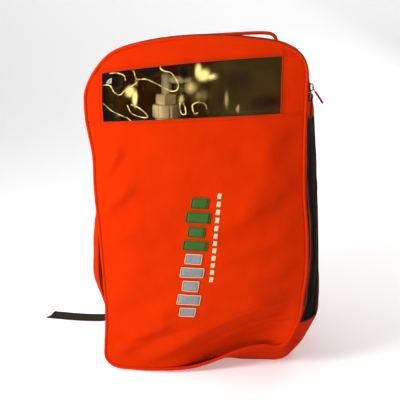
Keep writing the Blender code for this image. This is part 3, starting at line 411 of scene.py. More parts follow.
# ---------------------------------------------------------------- pack: sides, base and top
# The gusset is one long band of orange polyester with a dark coating inside. It runs right round the
# pack behind the zip, and each side has a large vent. Its cloth sags and bulges over what is inside.
HALF_WIDTH = 0.136
PACK_HEIGHT = 0.455
TOP_CORNER_R = 0.055
CROWN_R = 0.55
BASE_CORNER_R = 0.025
CORNER_X = HALF_WIDTH - TOP_CORNER_R
CROWN_TURN = math.degrees(math.asin(CORNER_X / (CROWN_R - TOP_CORNER_R)))
CROWN_Z = PACK_HEIGHT - CROWN_R
CORNER_Z = CROWN_Z + (CROWN_R - TOP_CORNER_R) * math.cos(math.radians(CROWN_TURN))
FRONT_SEAM_Y = -0.0742
BACK_SEAM_Y = 0.0665
ZIP_Y = -0.0502
ZIP_TAPE_WIDTH = 0.0058
FOLD_LINE_Z = 0.0605
MIDDLE_Z = 0.23
VENT_LOW = (-0.0400, 0.068)
VENT_HIGH = (-0.0080, 0.345)

# How far the cloth strays from its cut shape, as (height, distance) pairs up each side: the edge of
# the front, and the belly that the load pushes out behind the zip.
RIGHT_WAIST = ((0.0, -0.016), (0.05, -0.011), (0.075, -0.003), (0.10, 0.003), (0.125, 0.0045),
               (0.155, 0.0075), (0.205, 0.0065), (0.27, -0.0005), (0.33, -0.0028), (0.46, -0.0035))
LEFT_WAIST = ((0.0, 0.001), (0.04, 0.005), (0.08, 0.008), (0.14, 0.007), (0.2, 0.0045), (0.27, 0.0010),
              (0.31, 0.0012), (0.365, -0.0060), (0.41, -0.0055), (0.46, -0.002))
RIGHT_BELLY = ((0.0, 0.012), (0.014, 0.0130), (0.043, 0.0235), (0.062, 0.0315), (0.09, 0.0325),
               (0.16, 0.0275), (0.255, 0.0210), (0.33, 0.0135), (0.357, 0.0100), (0.392, 0.0020), (0.46, 0.0))
LEFT_BELLY = ((0.0, 0.008), (0.04, 0.010), (0.064, 0.0166), (0.077, 0.0220), (0.096, 0.0290), (0.15, 0.0290),
              (0.19, 0.0250), (0.24, 0.0160), (0.33, 0.0120), (0.357, 0.0080), (0.392, 0.0020), (0.46, 0.0))
LEFT_DEPTH = ((-0.078, 0.0), (-0.056, 0.0), (-0.045, 0.10), (-0.030, 0.22), (-0.010, 0.46), (-0.002, 0.85),
              (0.008, 1.0), (0.024, 0.98), (0.042, 0.72), (0.058, 0.38), (0.0665, 0.20), (0.075, 0.10))
RIGHT_DEPTH = ((-0.078, 0.0), (-0.056, 0.0), (-0.045, 0.17), (-0.030, 0.50), (-0.010, 0.84), (0.008, 1.0),
               (0.024, 0.98), (0.042, 0.72), (0.058, 0.38), (0.0665, 0.20), (0.075, 0.10))
LEAN = ((0.0, 0.0), (0.25, 0.0), (0.356, 0.061), (0.424, 0.096), (0.452, 0.03), (0.48, 0.02))
BASE_LIFT = ((-0.14, 0.004), (-0.06, 0.003), (0.0, 0.010), (0.03, 0.021), (0.06, 0.033), (0.10, 0.041),
             (0.14, 0.034))
BASE_TUCK = ((-0.14, 0.0), (-0.03, 0.0), (0.03, 0.006), (0.10, 0.013), (0.14, 0.013))


def eased(pairs, value):
    """Reads a given list of (where, how much) pairs smoothly."""
    where = np.array([p[0] for p in pairs])
    much = np.array([p[1] for p in pairs])
    k = np.clip(np.searchsorted(where, value, side="right") - 1, 0, len(where) - 2)
    t = np.clip((value - where[k]) / (where[k + 1] - where[k]), 0, 1)
    slopes = np.gradient(much, where)
    span = where[k + 1] - where[k]
    h00 = 2 * t**3 - 3 * t**2 + 1
    h10 = t**3 - 2 * t**2 + t
    h01 = -2 * t**3 + 3 * t**2
    h11 = t**3 - t**2
    return h00 * much[k] + h10 * span * slopes[k] + h01 * much[k + 1] + h11 * span * slopes[k + 1]


def smooth_between(value, low, high):
    """0 below low, 1 above high, smooth between."""
    t = np.clip((value - low) / (high - low), 0, 1)
    return t * t * (3 - 2 * t)


def slump(points):
    """Moves points of the pack's cut shape to where the cloth really hangs."""
    points = np.asarray(points, float)
    x, y, z = points[..., 0], points[..., 1], points[..., 2]
    share = np.clip(np.abs(x) / HALF_WIDTH, 0, 1.05)
    near_front = np.clip((-0.030 - y) / 0.044, 0, 1)
    lift = eased(BASE_LIFT, x) * near_front * (1 - smooth_between(z, 0.0, 0.14))
    tuck = eased(BASE_TUCK, x) * near_front * (1 - smooth_between(z, 0.0, 0.10))
    sag = 0.006 * smooth_between(z, 0.40, 0.445) * np.sin(np.pi * smooth_between(y, ZIP_Y, BACK_SEAM_Y))
    height = z + lift - sag
    waist = np.where(x > 0, eased(RIGHT_WAIST, height), eased(LEFT_WAIST, height))
    waist = waist * share**1.5 * (1 - smooth_between(y, ZIP_Y, 0.010))
    right_belly = eased(RIGHT_BELLY, height) * eased(RIGHT_DEPTH, y)
    left_belly = -eased(LEFT_BELLY, height) * eased(LEFT_DEPTH, y)
    belly = np.where(x > 0, right_belly, left_belly) * share**6
    droop = -0.3 * x**2 * smooth_between(z, 0.38, 0.45)
    return np.stack([x + waist + belly, y + tuck, height + eased(LEAN, z) * x + droop], axis=-1)


def arc(centre, radius, start, end, steps):
    """Points (x, z) on an arc, by angle from the +X direction in degrees, without its last point."""
    angles = np.radians(np.linspace(start, end, steps + 1))[:-1]
    return np.stack([centre[0] + radius * np.cos(angles), centre[1] + radius * np.sin(angles)], axis=1)


def line(start, end, steps):
    """Even steps from start to end, without the end."""
    return np.linspace(start, end, steps + 1)[:-1]


def right_rim(inset):
    """Points (x, z) up the right of the outline, from the middle of the floor to the crown."""
    side_x = HALF_WIDTH - inset
    turn = 90 - CROWN_TURN
    return np.concatenate([
        line((0, inset), (HALF_WIDTH - BASE_CORNER_R, inset), 22),
        arc((HALF_WIDTH - BASE_CORNER_R, BASE_CORNER_R), BASE_CORNER_R - inset, -90, 0, 10),
        line((side_x, BASE_CORNER_R), (side_x, VENT_LOW[1]), 10),
        line((side_x, VENT_LOW[1]), (side_x, VENT_HIGH[1]), 60),
        line((side_x, VENT_HIGH[1]), (side_x, CORNER_Z), 12),
        arc((CORNER_X, CORNER_Z), TOP_CORNER_R - inset, 0, turn, 18),
        arc((0, CROWN_Z), CROWN_R - inset, turn, 90, 20),
        [(0, PACK_HEIGHT - inset)],
    ])


def rim(inset=0.0):
    """The whole outline as a closed loop of (x, z) points: up the right side, then down the left."""
    right = right_rim(inset)
    left = right[-2:0:-1] * (-1, 1)
    return np.concatenate([right, left])


def around(outline, depths):
    """A grid of points with a row for each depth and a column for each point of an outline."""
    return np.array([[(x, y, z) for x, z in outline] for y in depths])


def hem_wave(points, size, pitch=38.0, seed=0.0):
    """Small soft unevenness of cloth, as a shift along each point's direction from the middle."""
    shifts = []
    for p in points.reshape(-1, 3):
        n = noise.noise(Vector((p[0] * pitch + seed, p[1] * pitch, p[2] * pitch)))
        n += 0.5 * noise.noise(Vector((p[0] * pitch * 2.3, p[1] * pitch * 2.3 + seed, p[2] * pitch * 2.3)))
        shifts.append(n * size)
    return np.array(shifts).reshape(points.shape[:-1])


def cloth(name, points, finishes, closed=False, keep=None, thickness=0.0012, middle=(0, 0, MIDDLE_Z)):
    """A sheet of cloth from a grid of points, its face turned away from the middle of the pack.
    Its second finish, if it has one, is its lining."""
    rows, columns = points.shape[:2]
    piece = add_mesh(name, points.reshape(-1, 3), grid_faces(rows, columns, closed, keep), finishes)
    bm = bmesh.new()
    bm.from_mesh(piece.data)
    bmesh.ops.delete(bm, geom=[v for v in bm.verts if not v.link_faces], context="VERTS")
    facing = sum(f.normal.dot(f.calc_center_median() - Vector(middle)) * f.calc_area() for f in bm.faces)
    if facing < 0:
        bmesh.ops.reverse_faces(bm, faces=bm.faces)
    bm.to_mesh(piece.data)
    bm.free()
    body = piece.modifiers.new("cloth_thickness", "SOLIDIFY")
    body.thickness = thickness
    body.offset = -1
    if len(finishes) > 1:
        body.material_offset = 1
        body.material_offset_rim = 1
    return piece


def make_oxford_group():
    """Coated polyester: a fine plain weave, soft fading in patches, and a dulled bloom on raised threads."""
    group, given = node_group(
        "oxford_cloth",
        {
            "Dye": (0.62, 0.027, 0.0002), "Deep dye": (0.46, 0.015, 0.0001), "Thread pitch": 0.0009,
            "Sheen": 0.72,
        },
    )
    place, axes = object_place(group)
    turns = math_node(group, "DIVIDE", 2 * math.pi, given.outputs["Thread pitch"])
    waves = [math_node(group, "SINE", math_node(group, "MULTIPLY", axis, turns)) for axis in axes]
    weave = math_node(group, "ADD", math_node(group, "ADD", waves[0], waves[1]), waves[2])
    patches = noise_node(group, place, 9, 3)
    slubs = noise_node(group, place, 420, 2)
    faded = math_node(group, "MULTIPLY", patches, 0.5)
    share = math_node(group, "ADD", faded, math_node(group, "MULTIPLY", slubs, 0.25))
    colour = mix_colours(group, share, given.outputs["Dye"], given.outputs["Deep dye"])
    height = math_node(group, "ADD", math_node(group, "MULTIPLY", weave, 0.05), slubs)
    return put_out(group, colour, height, scaled(group, slubs, 0.15, given.outputs["Sheen"]))


OXFORD = make_oxford_group()
ORANGE = with_surface(
    principled("orange_polyester", (0.62, 0.027, 0.0002), 0.7, Specular_IOR_Level=0.02), OXFORD, 0.35, 0.0003
)
LINING = with_surface(
    principled("dark_lining", (0.02, 0.016, 0.008), 0.6),
    OXFORD, 0.3, 0.0003,
    {"Dye": (0.035, 0.026, 0.01), "Deep dye": (0.012, 0.009, 0.004), "Sheen": 0.5},
)

body_depths = np.concatenate([
    line(ZIP_Y - ZIP_TAPE_WIDTH, ZIP_Y + ZIP_TAPE_WIDTH, 2),
    line(ZIP_Y + ZIP_TAPE_WIDTH, VENT_LOW[0], 2),
    line(VENT_LOW[0], VENT_HIGH[0], 8),
    np.linspace(VENT_HIGH[0], BACK_SEAM_Y, 14),
])
gusset_grid = around(rim(), body_depths)
columns = gusset_grid.shape[1]


def outside_vents(i, j):
    """True for the gusset's cloth, false where a vent is cut, and where the zip opens above the hinge."""
    y = (gusset_grid[i, j, 1] + gusset_grid[i + 1, j, 1]) / 2
    x = (gusset_grid[i, j, 0] + gusset_grid[i, (j + 1) % columns, 0]) / 2
    z = (gusset_grid[i, j, 2] + gusset_grid[i, (j + 1) % columns, 2]) / 2
    inside = VENT_LOW[0] < y < VENT_HIGH[0] and VENT_LOW[1] < z < VENT_HIGH[1]
    zipped = y < ZIP_Y + ZIP_TAPE_WIDTH and z > FOLD_LINE_Z
    return not (zipped or (inside and abs(x) > HALF_WIDTH - 0.001))


def settle(points, size, seed):
    """Slumps a grid of the pack's cloth, with a little unevenness away from the middle of the pack."""
    moved = slump(points)
    away = moved - np.array([0.0, 0.0, MIDDLE_Z]) - moved * (0, 1, 0)
    away /= np.linalg.norm(away, axis=-1, keepdims=True)
    return moved + away * hem_wave(points, size, seed=seed)[..., None]


gusset = cloth(
    "pack_gusset", settle(gusset_grid, 0.0012, 3.0), [ORANGE, LINING], closed=True, keep=outside_vents,
    thickness=0.0022,
)
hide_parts("base_panel", "side_gusset_left", "side_gusset_right", "top_gusset")
belongs(gusset, "pack")

# ---------------------------------------------------------------- pack: mesh side vents
# Knitted black air mesh fills each side's vent, and stands out over the concentrator. Narrow
# binding tape is sewn round its edge.


def make_air_mesh():
    """Black knit with rows of small round holes, painted darker than the thread as the shade inside them."""
    group, given = node_group(
        "air_mesh", {"Yarn": (0.008, 0.003, 0.001), "Hole": (0.001, 0.001, 0.001), "Hole pitch": 0.0022}
    )
    turns = math_node(group, "DIVIDE", math.pi, given.outputs["Hole pitch"])
    rows, ranks = (
        math_node(group, "ABSOLUTE", math_node(group, "SINE", math_node(group, "MULTIPLY", axis, turns)))
        for axis in object_place(group)[1][1:3]
    )
    hole = soft_step(group, math_node(group, "MULTIPLY", rows, ranks), 0.45, 0.7)
    # Painted shade: the holes are not cut through, so their darker colour stands for the shade inside them.
    colour = mix_colours(group, hole, given.outputs["Yarn"], given.outputs["Hole"])
    return put_out(group, colour, math_node(group, "SUBTRACT", 1.0, hole), scaled(group, hole, 0.1, 0.75))


AIR_MESH = with_surface(
    principled("black_air_mesh", (0.007, 0.003, 0.001), 0.8, Specular_IOR_Level=0.04),
    make_air_mesh(), 0.8, 0.0008,
)
BINDING_HALF_WIDTH = 0.0016
BINDING = with_surface(
    principled("vent_binding", (0.010, 0.005, 0.002), 0.7, Specular_IOR_Level=0.1), WEBBING_GROUP, 0.3, 0.0003
)
for side, sign in (("left", -1), ("right", 1)):
    ys = np.linspace(VENT_LOW[0] - 0.001, VENT_HIGH[0] + 0.001, 22)
    zs = np.linspace(VENT_LOW[1] - 0.001, VENT_HIGH[1] + 0.001, 70)
    flat = np.array([[(sign * (HALF_WIDTH - 0.0012), y, z) for z in zs] for y in ys])
    swell = np.outer(np.sin(np.pi * np.linspace(0, 1, 22)), np.sin(np.pi * np.linspace(0, 1, 70)) ** 0.3)
    hung = slump(flat)
    hung[..., 0] += sign * 0.003 * swell + hem_wave(flat, 0.0010, 30, 7.0 * sign) * swell
    vent = cloth(f"air_mesh_{side}", hung, [AIR_MESH], thickness=0.0012)
    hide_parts(f"side_mesh_{side}")
    belongs(vent, "pack")
    low, high = (VENT_LOW[0] - 0.001, VENT_LOW[1] - 0.001), (VENT_HIGH[0] + 0.001, VENT_HIGH[1] + 0.001)
    corners = [low, (low[0], high[1]), high, (high[0], low[1]), low]
    runs = [line(a, b, 60 if a[0] == b[0] else 8) for a, b in zip(corners, corners[1:])]
    seam = slump([(sign * (HALF_WIDTH + 0.0002), y, z) for y, z in np.concatenate([*runs, [low]])])
    rings = np.stack([seam + (sign * proud, 0, 0) for proud in (0.0002, 0.0010, 0.0002)])
    outwards = np.sign(seam - seam.mean(axis=0)) * (np.abs(seam - seam.mean(axis=0)) > (1, 0.013, 0.13))
    rings[0] -= outwards * BINDING_HALF_WIDTH
    rings[2] += outwards * BINDING_HALF_WIDTH
    binding = cloth(f"vent_binding_{side}", rings, [BINDING], thickness=0.0008, middle=(0, 0, 0.2))
    belongs(binding, "pack")

# ---------------------------------------------------------------- pack: front cover
# The front is one orange panel: the flap above and the sill below its fold line. A window is cut
# near its top. The load pushes its middle out, and slack cloth folds across its lower right.
WINDOW_X = (-0.113, 0.103)
WINDOW_Z = (0.358, 0.424)
PANEL_INSET = 0.0030
FRONT_FACE_Y = -0.0777
FRONT_CROWN = 0.012
CREASE_POINT = (0.004, 0.0600)
CREASE_SLOPE = 0.60


# Each fold of the front: its two ends, how far it stands out, and its reach above and below.
FOLDS = (
    ((-0.068, 0.020), (0.112, 0.126), 0.0075, 0.050, 0.010),
    ((-0.100, 0.050), (-0.030, 0.088), 0.0045, 0.020, 0.007),
    ((-0.118, 0.030), (-0.062, 0.052), 0.0030, 0.012, 0.006),
    ((-0.095, 0.040), (-0.005, 0.072), -0.0040, 0.009, 0.012),
    ((-0.060, 0.098), (0.030, 0.118), 0.0028, 0.016, 0.009),
    ((0.000, 0.196), (0.128, 0.285), 0.0042, 0.022, 0.012),
    ((0.010, 0.170), (0.130, 0.222), 0.0036, 0.018, 0.011),
    ((0.020, 0.146), (0.128, 0.170), 0.0030, 0.016, 0.010),
    ((0.010, 0.128), (0.100, 0.116), 0.0024, 0.012, 0.009),
    ((-0.134, 0.268), (-0.095, 0.322), 0.0040, 0.010, 0.007),
    ((-0.132, 0.228), (-0.078, 0.276), 0.0036, 0.012, 0.008),
    ((-0.130, 0.190), (-0.070, 0.215), 0.0022, 0.012, 0.009),
    ((0.060, 0.318), (0.124, 0.338), 0.0026, 0.012, 0.009),
    ((0.100, 0.350), (0.060, 0.220), 0.0022, 0.020, 0.012),
    ((0.020, 0.030), (0.120, 0.078), 0.0034, 0.010, 0.006),
    ((0.070, 0.036), (0.128, 0.056), 0.0030, 0.006, 0.005),
    ((0.100, 0.062), (0.132, 0.094), 0.0030, 0.007, 0.006),
)


def crumple(x, z):
    """Soft slanting unevenness of slack cloth, from -1 to 1."""
    flat = np.stack([x + 0.5 * z, np.zeros_like(x), z - 0.5 * x], axis=-1).reshape(-1, 3)
    return np.array([noise.noise(Vector((p[0] * 12, 3.0, p[2] * 38))) for p in flat]).reshape(np.shape(x))


def ridge(x, z, start, end, height, above, below):
    """A fold between two points of the front: gentle above it, steep below it, faded at its ends."""
    start, end = np.array(start), np.array(end)
    along = end - start
    length = np.linalg.norm(along)
    along = along / length
    across = np.array([-along[1], along[0]])
    t = ((x - start[0]) * along[0] + (z - start[1]) * along[1]) / length
    d = (x - start[0]) * across[0] + (z - start[1]) * across[1]
    fade = smooth_between(t, -0.12, 0.25) * (1 - smooth_between(t, 0.75, 1.12))
    return height * fade * np.exp(-(np.where(d > 0, d / above, d / below) ** 2))


def front_depth(x, z):
    """How far back the front cloth lies at (x, z) of its cut shape."""
    across = 1 - np.clip(np.abs(x) / (HALF_WIDTH - PANEL_INSET), 0, 1) ** 3
    half = (PACK_HEIGHT - 0.02) / 2
    up = np.clip(np.abs(z - PACK_HEIGHT / 2) / half, 0, 1)
    out = FRONT_CROWN * across * (1 - up**4)
    edge = smooth_between(HALF_WIDTH - np.abs(x), 0.0, 0.035)
    below = CREASE_POINT[1] + CREASE_SLOPE * (x - CREASE_POINT[0]) - z
    tuck = 0.20 * np.clip(below, 0, 0.06) * smooth_between(x, -0.07, 0.02) * edge
    for start, end, height, above, below in FOLDS:
        out = out + ridge(x, z, start, end, height, above, below) * edge
    lower = 1 - smooth_between(z, 0.10, 0.30)
    out = out + edge * (0.0012 + 0.0016 * lower) * crumple(x, z)
    window = smooth_between(z, WINDOW_Z[0] - 0.03, WINDOW_Z[0]) * (1 - smooth_between(z, WINDOW_Z[1], 0.45))
    out = out * (1 - 0.25 * window)
    return FRONT_FACE_Y - out + tuck


def front_place(x, z, lift=0.0):
    """The hung place of the front's cloth; lift stands proud of it."""
    flat = np.stack([x, front_depth(x, z) - lift, z], axis=-1)
    rough = hem_wave(flat * (1, 0, 1), 0.0011, 26, 11.0)
    edge = smooth_between(HALF_WIDTH - np.abs(x), 0.0, 0.03) * smooth_between(PACK_HEIGHT - z, 0.0, 0.03)
    moved = slump(flat)
    moved[..., 1] += rough * edge
    return moved


def rim_x(z):
    """Half of the front's width at a height, above its bottom corners."""
    rise = np.maximum(z - CORNER_Z, 0.0)
    radius = TOP_CORNER_R - PANEL_INSET
    return CORNER_X + np.sqrt(np.maximum(radius**2 - rise**2, 0.0))


def front_grid():
    """Rows of (x, z) points: the rounded bottom, the straight middle with the window, the arched top."""
    low, high = 0.055, WINDOW_Z[1]
    x_low, x_high = rim_x(low), rim_x(high)
    margin = 0.0014
    left, right = WINDOW_X
    parts = np.concatenate([
        line(-x_low, left - margin, 7),
        line(left - margin, left, 1),
        line(left, right, 84),
        line(right, right + margin, 1),
        np.linspace(right + margin, x_low, 10),
    ])
    shares = (parts + x_low) / (2 * x_low)
    whole = rim(PANEL_INSET)
    bottom = sorted([p for p in whole if p[1] < low], key=lambda p: math.atan2(p[0], 0.3 - p[1]))
    top = sorted([p for p in whole if p[1] > high], key=lambda p: math.atan2(p[0], p[1] - 0.2))
    bottom = np.array([(-x_low, low), *bottom, (x_low, low)])
    top = np.array([(-x_high, high), *top, (x_high, high)])
    rows = []
    base = spread(bottom, shares)
    first = np.stack([parts, np.full_like(parts, low)], axis=1)
    for v in np.linspace(0, 1, 17)[:-1]:
        rows.append(base * (1 - v) + first * v)
    seam_low, seam_high = WINDOW_Z
    heights = np.concatenate([
        line(low, seam_low - margin, 104),
        line(seam_low - margin, seam_low, 1),
        line(seam_low, seam_low + margin, 1),
        line(seam_low + margin, seam_high - margin, 22),
        [seam_high - margin],
    ])
    for z in heights:
        width = rim_x(z)
        narrow = np.interp(parts, [-x_low, left - margin, right + margin, x_low],
                           [-width, left - margin, right + margin, width])
        rows.append(np.stack([narrow, np.full_like(parts, z)], axis=1))
    narrow = np.interp(parts, [-x_low, left - margin, right + margin, x_low],
                       [-x_high, left - margin, right + margin, x_high])
    last = np.stack([narrow, np.full_like(parts, high)], axis=1)
    crown = spread(top, (narrow + x_high) / (2 * x_high))
    for v in np.linspace(0, 1, 15):
        rows.append(last * (1 - v) + crown * v)
    return np.array(rows)


def spread(points, shares):
    """Points at given shares of the length of a line of points."""
    steps = np.concatenate([[0], np.cumsum(np.linalg.norm(np.diff(points, axis=0), axis=1))])
    return np.stack([np.interp(shares * steps[-1], steps, points[:, k]) for k in (0, 1)], axis=1)


front = front_grid()


def outside_window(i, j):
    """True for the front's cloth, false where the window is cut."""
    x = (front[i, j, 0] + front[i, j + 1, 0]) / 2
    z = (front[i, j, 1] + front[i + 1, j, 1]) / 2
    return not (WINDOW_X[0] < x < WINDOW_X[1] and WINDOW_Z[0] < z < WINDOW_Z[1])


front_points = front_place(front[..., 0], front[..., 1])
seam_rows = [i for i in range(len(front)) if any(abs(front[i, 0, 1] - z) < 1e-6 for z in WINDOW_Z)]
for i in seam_rows:
    beside = (front[i, :, 0] < WINDOW_X[0] - 0.002) | (front[i, :, 0] > WINDOW_X[1] + 0.002)
    front_points[i, beside, 1] += 0.0011
cover = cloth("front_cover", front_points, [ORANGE, LINING], keep=outside_window, thickness=0.0018)
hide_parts("front_panel", "front_sill")
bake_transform(cover)

# ---------------------------------------------------------------- pack: piping
# A cord wrapped in a bias strip of the orange cloth is sewn into the seam round the front cover,
# and another into the seam round the back.
PIPING_R = 0.0023
PIPING_INSET = 0.0022


def tube(name, points, radius, finish, closed=False, sides=10, wobble=0.0):
    """A round cord along a line of points, with a twist-free ring at each point."""
    points = [Vector(p) for p in points]
    count = len(points)
    verts, previous = [], None
    for i, place in enumerate(points):
        before = points[i - 1] if closed or i else points[0]
        after = points[(i + 1) % count] if closed or i < count - 1 else points[-1]
        along = (after - before).normalized()
        if previous is None:
            previous = along.orthogonal().normalized()
        normal = (previous - along * previous.dot(along)).normalized()
        binormal = along.cross(normal)
        previous = normal
        size = radius * (1 + wobble * noise.noise(place * 160))
        for k in range(sides):
            a = 2 * math.pi * k / sides
            verts.append(place + (normal * math.cos(a) + binormal * math.sin(a)) * size)
    faces = grid_faces(count, sides, closed=True)
    if closed:
        ring = (count - 1) * sides
        faces += [(ring + k, ring + (k + 1) % sides, (k + 1) % sides, k) for k in range(sides)]
    else:
        faces.append(tuple(range(sides)))
        faces.append(tuple((count - 1) * sides + k for k in reversed(range(sides))))
    piece = add_mesh(name, verts, faces, [finish])
    outward(piece)
    return piece


def loop_line(inset, y):
    """A closed line of hung points round the pack at a depth, two for each point of its outline."""
    flat = rim(inset)
    closed_line = np.concatenate([flat, flat[:1]])
    steps = np.linspace(0, 1, len(flat) * 2 + 1)[:-1]
    even = spread(closed_line, steps)
    return slump(np.stack([even[:, 0], np.full(len(even), y), even[:, 1]], axis=1))


front_piping = tube("front_piping", loop_line(PIPING_INSET, -0.0768), PIPING_R, ORANGE, True, 12, 0.10)
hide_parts("piping_flap", "piping_base")
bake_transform(front_piping)
back_piping = tube("back_piping", loop_line(PIPING_INSET, 0.0696), PIPING_R, ORANGE, True, 12, 0.10)
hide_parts("piping_back")
belongs(back_piping, "pack")

# ---------------------------------------------------------------- pack: flap gusset and zip
# A narrow orange strip joins the piping to the zip. The zip is black coil on woven tape, one half
# sewn to the flap and the other to the body, and it opens from the hinge line right over the top.
strip_depths = np.linspace(FRONT_SEAM_Y - 0.0010, ZIP_Y - ZIP_TAPE_WIDTH + 0.0004, 7)
strip_grid = around(rim(), strip_depths)
flap_strip = cloth(
    "flap_strip", settle(strip_grid, 0.0006, 3.0), [ORANGE, LINING], closed=True, thickness=0.0020
)
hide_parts("flap_gusset")
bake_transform(flap_strip)


def make_tape_group():
    """Woven tape or coil: fine grain, with dust caught in patches."""
    group, given = node_group("zip_tape", {"Thread": (0.012, 0.012, 0.013)})
    place = object_place(group)[0]
    grain = noise_node(group, place, 1500, 2)
    dust = noise_node(group, place, 60, 4)
    share = math_node(group, "MULTIPLY", grain, dust)
    colour = mix_colours(group, share, given.outputs["Thread"], (0.05, 0.048, 0.045))
    return put_out(group, colour, grain, scaled(group, dust, 0.3, 0.45))


TAPE_GROUP = make_tape_group()
ZIP_TAPE = with_surface(
    principled("zip_tape", (0.012, 0.008, 0.007), 0.6, Specular_IOR_Level=0.2), TAPE_GROUP, 0.5, 0.0004
)
ZIP_COIL = with_surface(principled("zip_coil", (0.02, 0.02, 0.021), 0.3), TAPE_GROUP, 0.1, 0.0002)
TOOTH_PITCH = 0.0024
TOOTH_SIZE = (0.0012, 0.0040, 0.0017)
TOOTH_SHIFT = 0.0008
ZIP_GAP = 0.0004


def above_hinge(outline):
    """The part of a closed outline above the flap's fold line, right side first."""
    return np.array([p for p in outline if p[1] > FOLD_LINE_Z + 0.002])


def with_rounded_edges(name, bm, finish, edge, segments=1):
    """A piece from a finished bmesh, its edges rounded off."""
    mesh = bpy.data.meshes.new(name)
    bm.to_mesh(mesh)
    bm.free()
    mesh.materials.append(finish)
    piece = bpy.data.objects.new(name, mesh)
    bpy.context.scene.collection.objects.link(piece)
    rounded = piece.modifiers.new("rounded_edges", "BEVEL")
    rounded.width = edge
    rounded.segments = segments
    return piece


def zip_half(name, body, node, near_y, far_y, tooth_y, phase):
    """One half of the zip: its tape, and its row of coil teeth along the tape's inner edge."""
    outline = above_hinge(rim(0.0006))
    tape_points = slump(around(outline, np.linspace(near_y, far_y, 4)))
    tape = cloth(name + "_tape", tape_points, [ZIP_TAPE], thickness=0.0010)
    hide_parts(node)
    belongs(tape, body)
    path = above_hinge(rim(-0.0004))
    length = np.sum(np.linalg.norm(np.diff(path, axis=0), axis=1))
    count = int(length / TOOTH_PITCH)
    places = spread(path, (np.arange(count) + phase) / count)
    ahead = spread(path, (np.arange(count) + phase + 0.1) / count)
    bm = bmesh.new()
    for here, there in zip(places, ahead):
        centre = Vector(slump(np.array([here[0], tooth_y, here[1]])))
        towards = (Vector(slump(np.array([there[0], tooth_y, there[1]]))) - centre).normalized()
        depth = Vector((0, 1, 0))
        spin = Matrix((towards, depth, towards.cross(depth))).transposed().to_4x4()
        shape = Matrix.Diagonal((*TOOTH_SIZE, 1))
        bmesh.ops.create_cube(bm, size=1, matrix=Matrix.Translation(centre) @ spin @ shape)
    teeth = with_rounded_edges(name + "_teeth", bm, ZIP_COIL, 0.0003)
    belongs(teeth, body)


zip_half(
    "flap_zip", "front_flap", "zip_half_flap",
    ZIP_Y - ZIP_TAPE_WIDTH, ZIP_Y - ZIP_GAP, ZIP_Y - TOOTH_SHIFT, 0.0,
)
zip_half(
    "body_zip", "pack", "zip_half_body",
    ZIP_Y + ZIP_GAP, ZIP_Y + ZIP_TAPE_WIDTH, ZIP_Y + TOOTH_SHIFT, 0.5,
)

# ---------------------------------------------------------------- pack: window
# Clear soft vinyl, sewn behind a turned hem. It has yellowed a little, and it ripples. Its reflections
# are painted into its colour: pale lines along its crests, soft glare, and near-black painted shade.


# Places on the film as shares of the window, across it and up it: the crests of its ripples, along which
# pale lines of painted reflection are drawn, and the middles of its patches of painted glare and of
# painted shade, with their half sizes and strengths.
GLINT_CRESTS = (
    ((-0.02, 0.77), (0.04, 0.76), (0.07, 0.61), (0.10, 0.55), (0.13, 0.63), (0.19, 0.75)),
    ((0.04, 0.98), (0.08, 0.97), (0.12, 0.91), (0.13, 0.82)),
    ((0.12, 1.02), (0.17, 0.97), (0.19, 0.82), (0.24, 0.80), (0.28, 0.73), (0.34, 0.61), (0.38, 0.53),
     (0.41, 0.54), (0.42, 0.61), (0.41, 0.72), (0.38, 0.86), (0.34, 0.91), (0.32, 0.97), (0.33, 1.05)),
    ((-0.02, 0.51), (0.01, 0.36), (0.06, 0.20), (0.13, 0.07), (0.16, -0.02)),
    ((0.14, 0.32), (0.16, 0.16), (0.21, 0.07), (0.25, 0.07), (0.21, 0.24), (0.16, 0.33)),
    ((0.43, 0.31), (0.43, 0.19), (0.44, 0.09), (0.46, 0.09), (0.46, 0.19), (0.45, 0.28)),
    ((0.58, 0.16), (0.57, 0.25), (0.53, 0.29), (0.50, 0.25), (0.50, 0.18), (0.51, 0.08), (0.53, 0.10)),
)
PAINTED_GLARE_PATCHES = (
    ((0.155, 0.60), (0.030, 0.13), 1.0), ((0.180, 0.45), (0.018, 0.20), 1.0),
    ((0.190, 0.76), (0.016, 0.12), 0.6), ((0.530, 0.84), (0.022, 0.16), 1.0),
    ((0.560, 0.76), (0.045, 0.13), 1.0), ((0.600, 0.72), (0.040, 0.07), 0.9),
    ((0.480, 0.56), (0.070, 0.16), 0.52), ((0.440, 0.36), (0.022, 0.12), 0.7),
    ((0.550, 0.40), (0.060, 0.16), 0.42), ((0.690, 0.30), (0.014, 0.16), 0.45),
    ((0.755, 0.14), (0.014, 0.09), 0.55), ((0.350, 0.20), (0.050, 0.10), 0.25),
)
PAINTED_SHADE_PATCHES = (
    ((0.06, 0.84), (0.055, 0.16), 1.0), ((0.26, 0.95), (0.070, 0.12), 1.0),
    ((0.45, 0.86), (0.030, 0.14), 0.9), ((0.03, 0.16), (0.055, 0.20), 1.0),
    ((0.21, 0.16), (0.020, 0.06), 0.8), ((0.76, 0.62), (0.110, 0.30), 0.42),
    ((0.92, 0.20), (0.120, 0.14), 0.62), ((0.66, 0.35), (0.040, 0.30), 0.40),
    ((0.84, 0.80), (0.10, 0.10), 0.30),
)


def glint_crest_distance(x, z):
    """Distance in metres from each point (x, z) to the nearest crest, along which a painted reflection is
    drawn.
    """
    nearest = np.full(x.shape, 1.0)
    for glint_crest in GLINT_CRESTS:
        places = [
            (WINDOW_X[0] + u * (WINDOW_X[1] - WINDOW_X[0]), 0, WINDOW_Z[0] + v * (WINDOW_Z[1] - WINDOW_Z[0]))
            for u, v in glint_crest
        ]
        for place in smooth_route(places, 14):
            nearest = np.minimum(nearest, np.hypot(x - place.x, z - place.z))
    return nearest


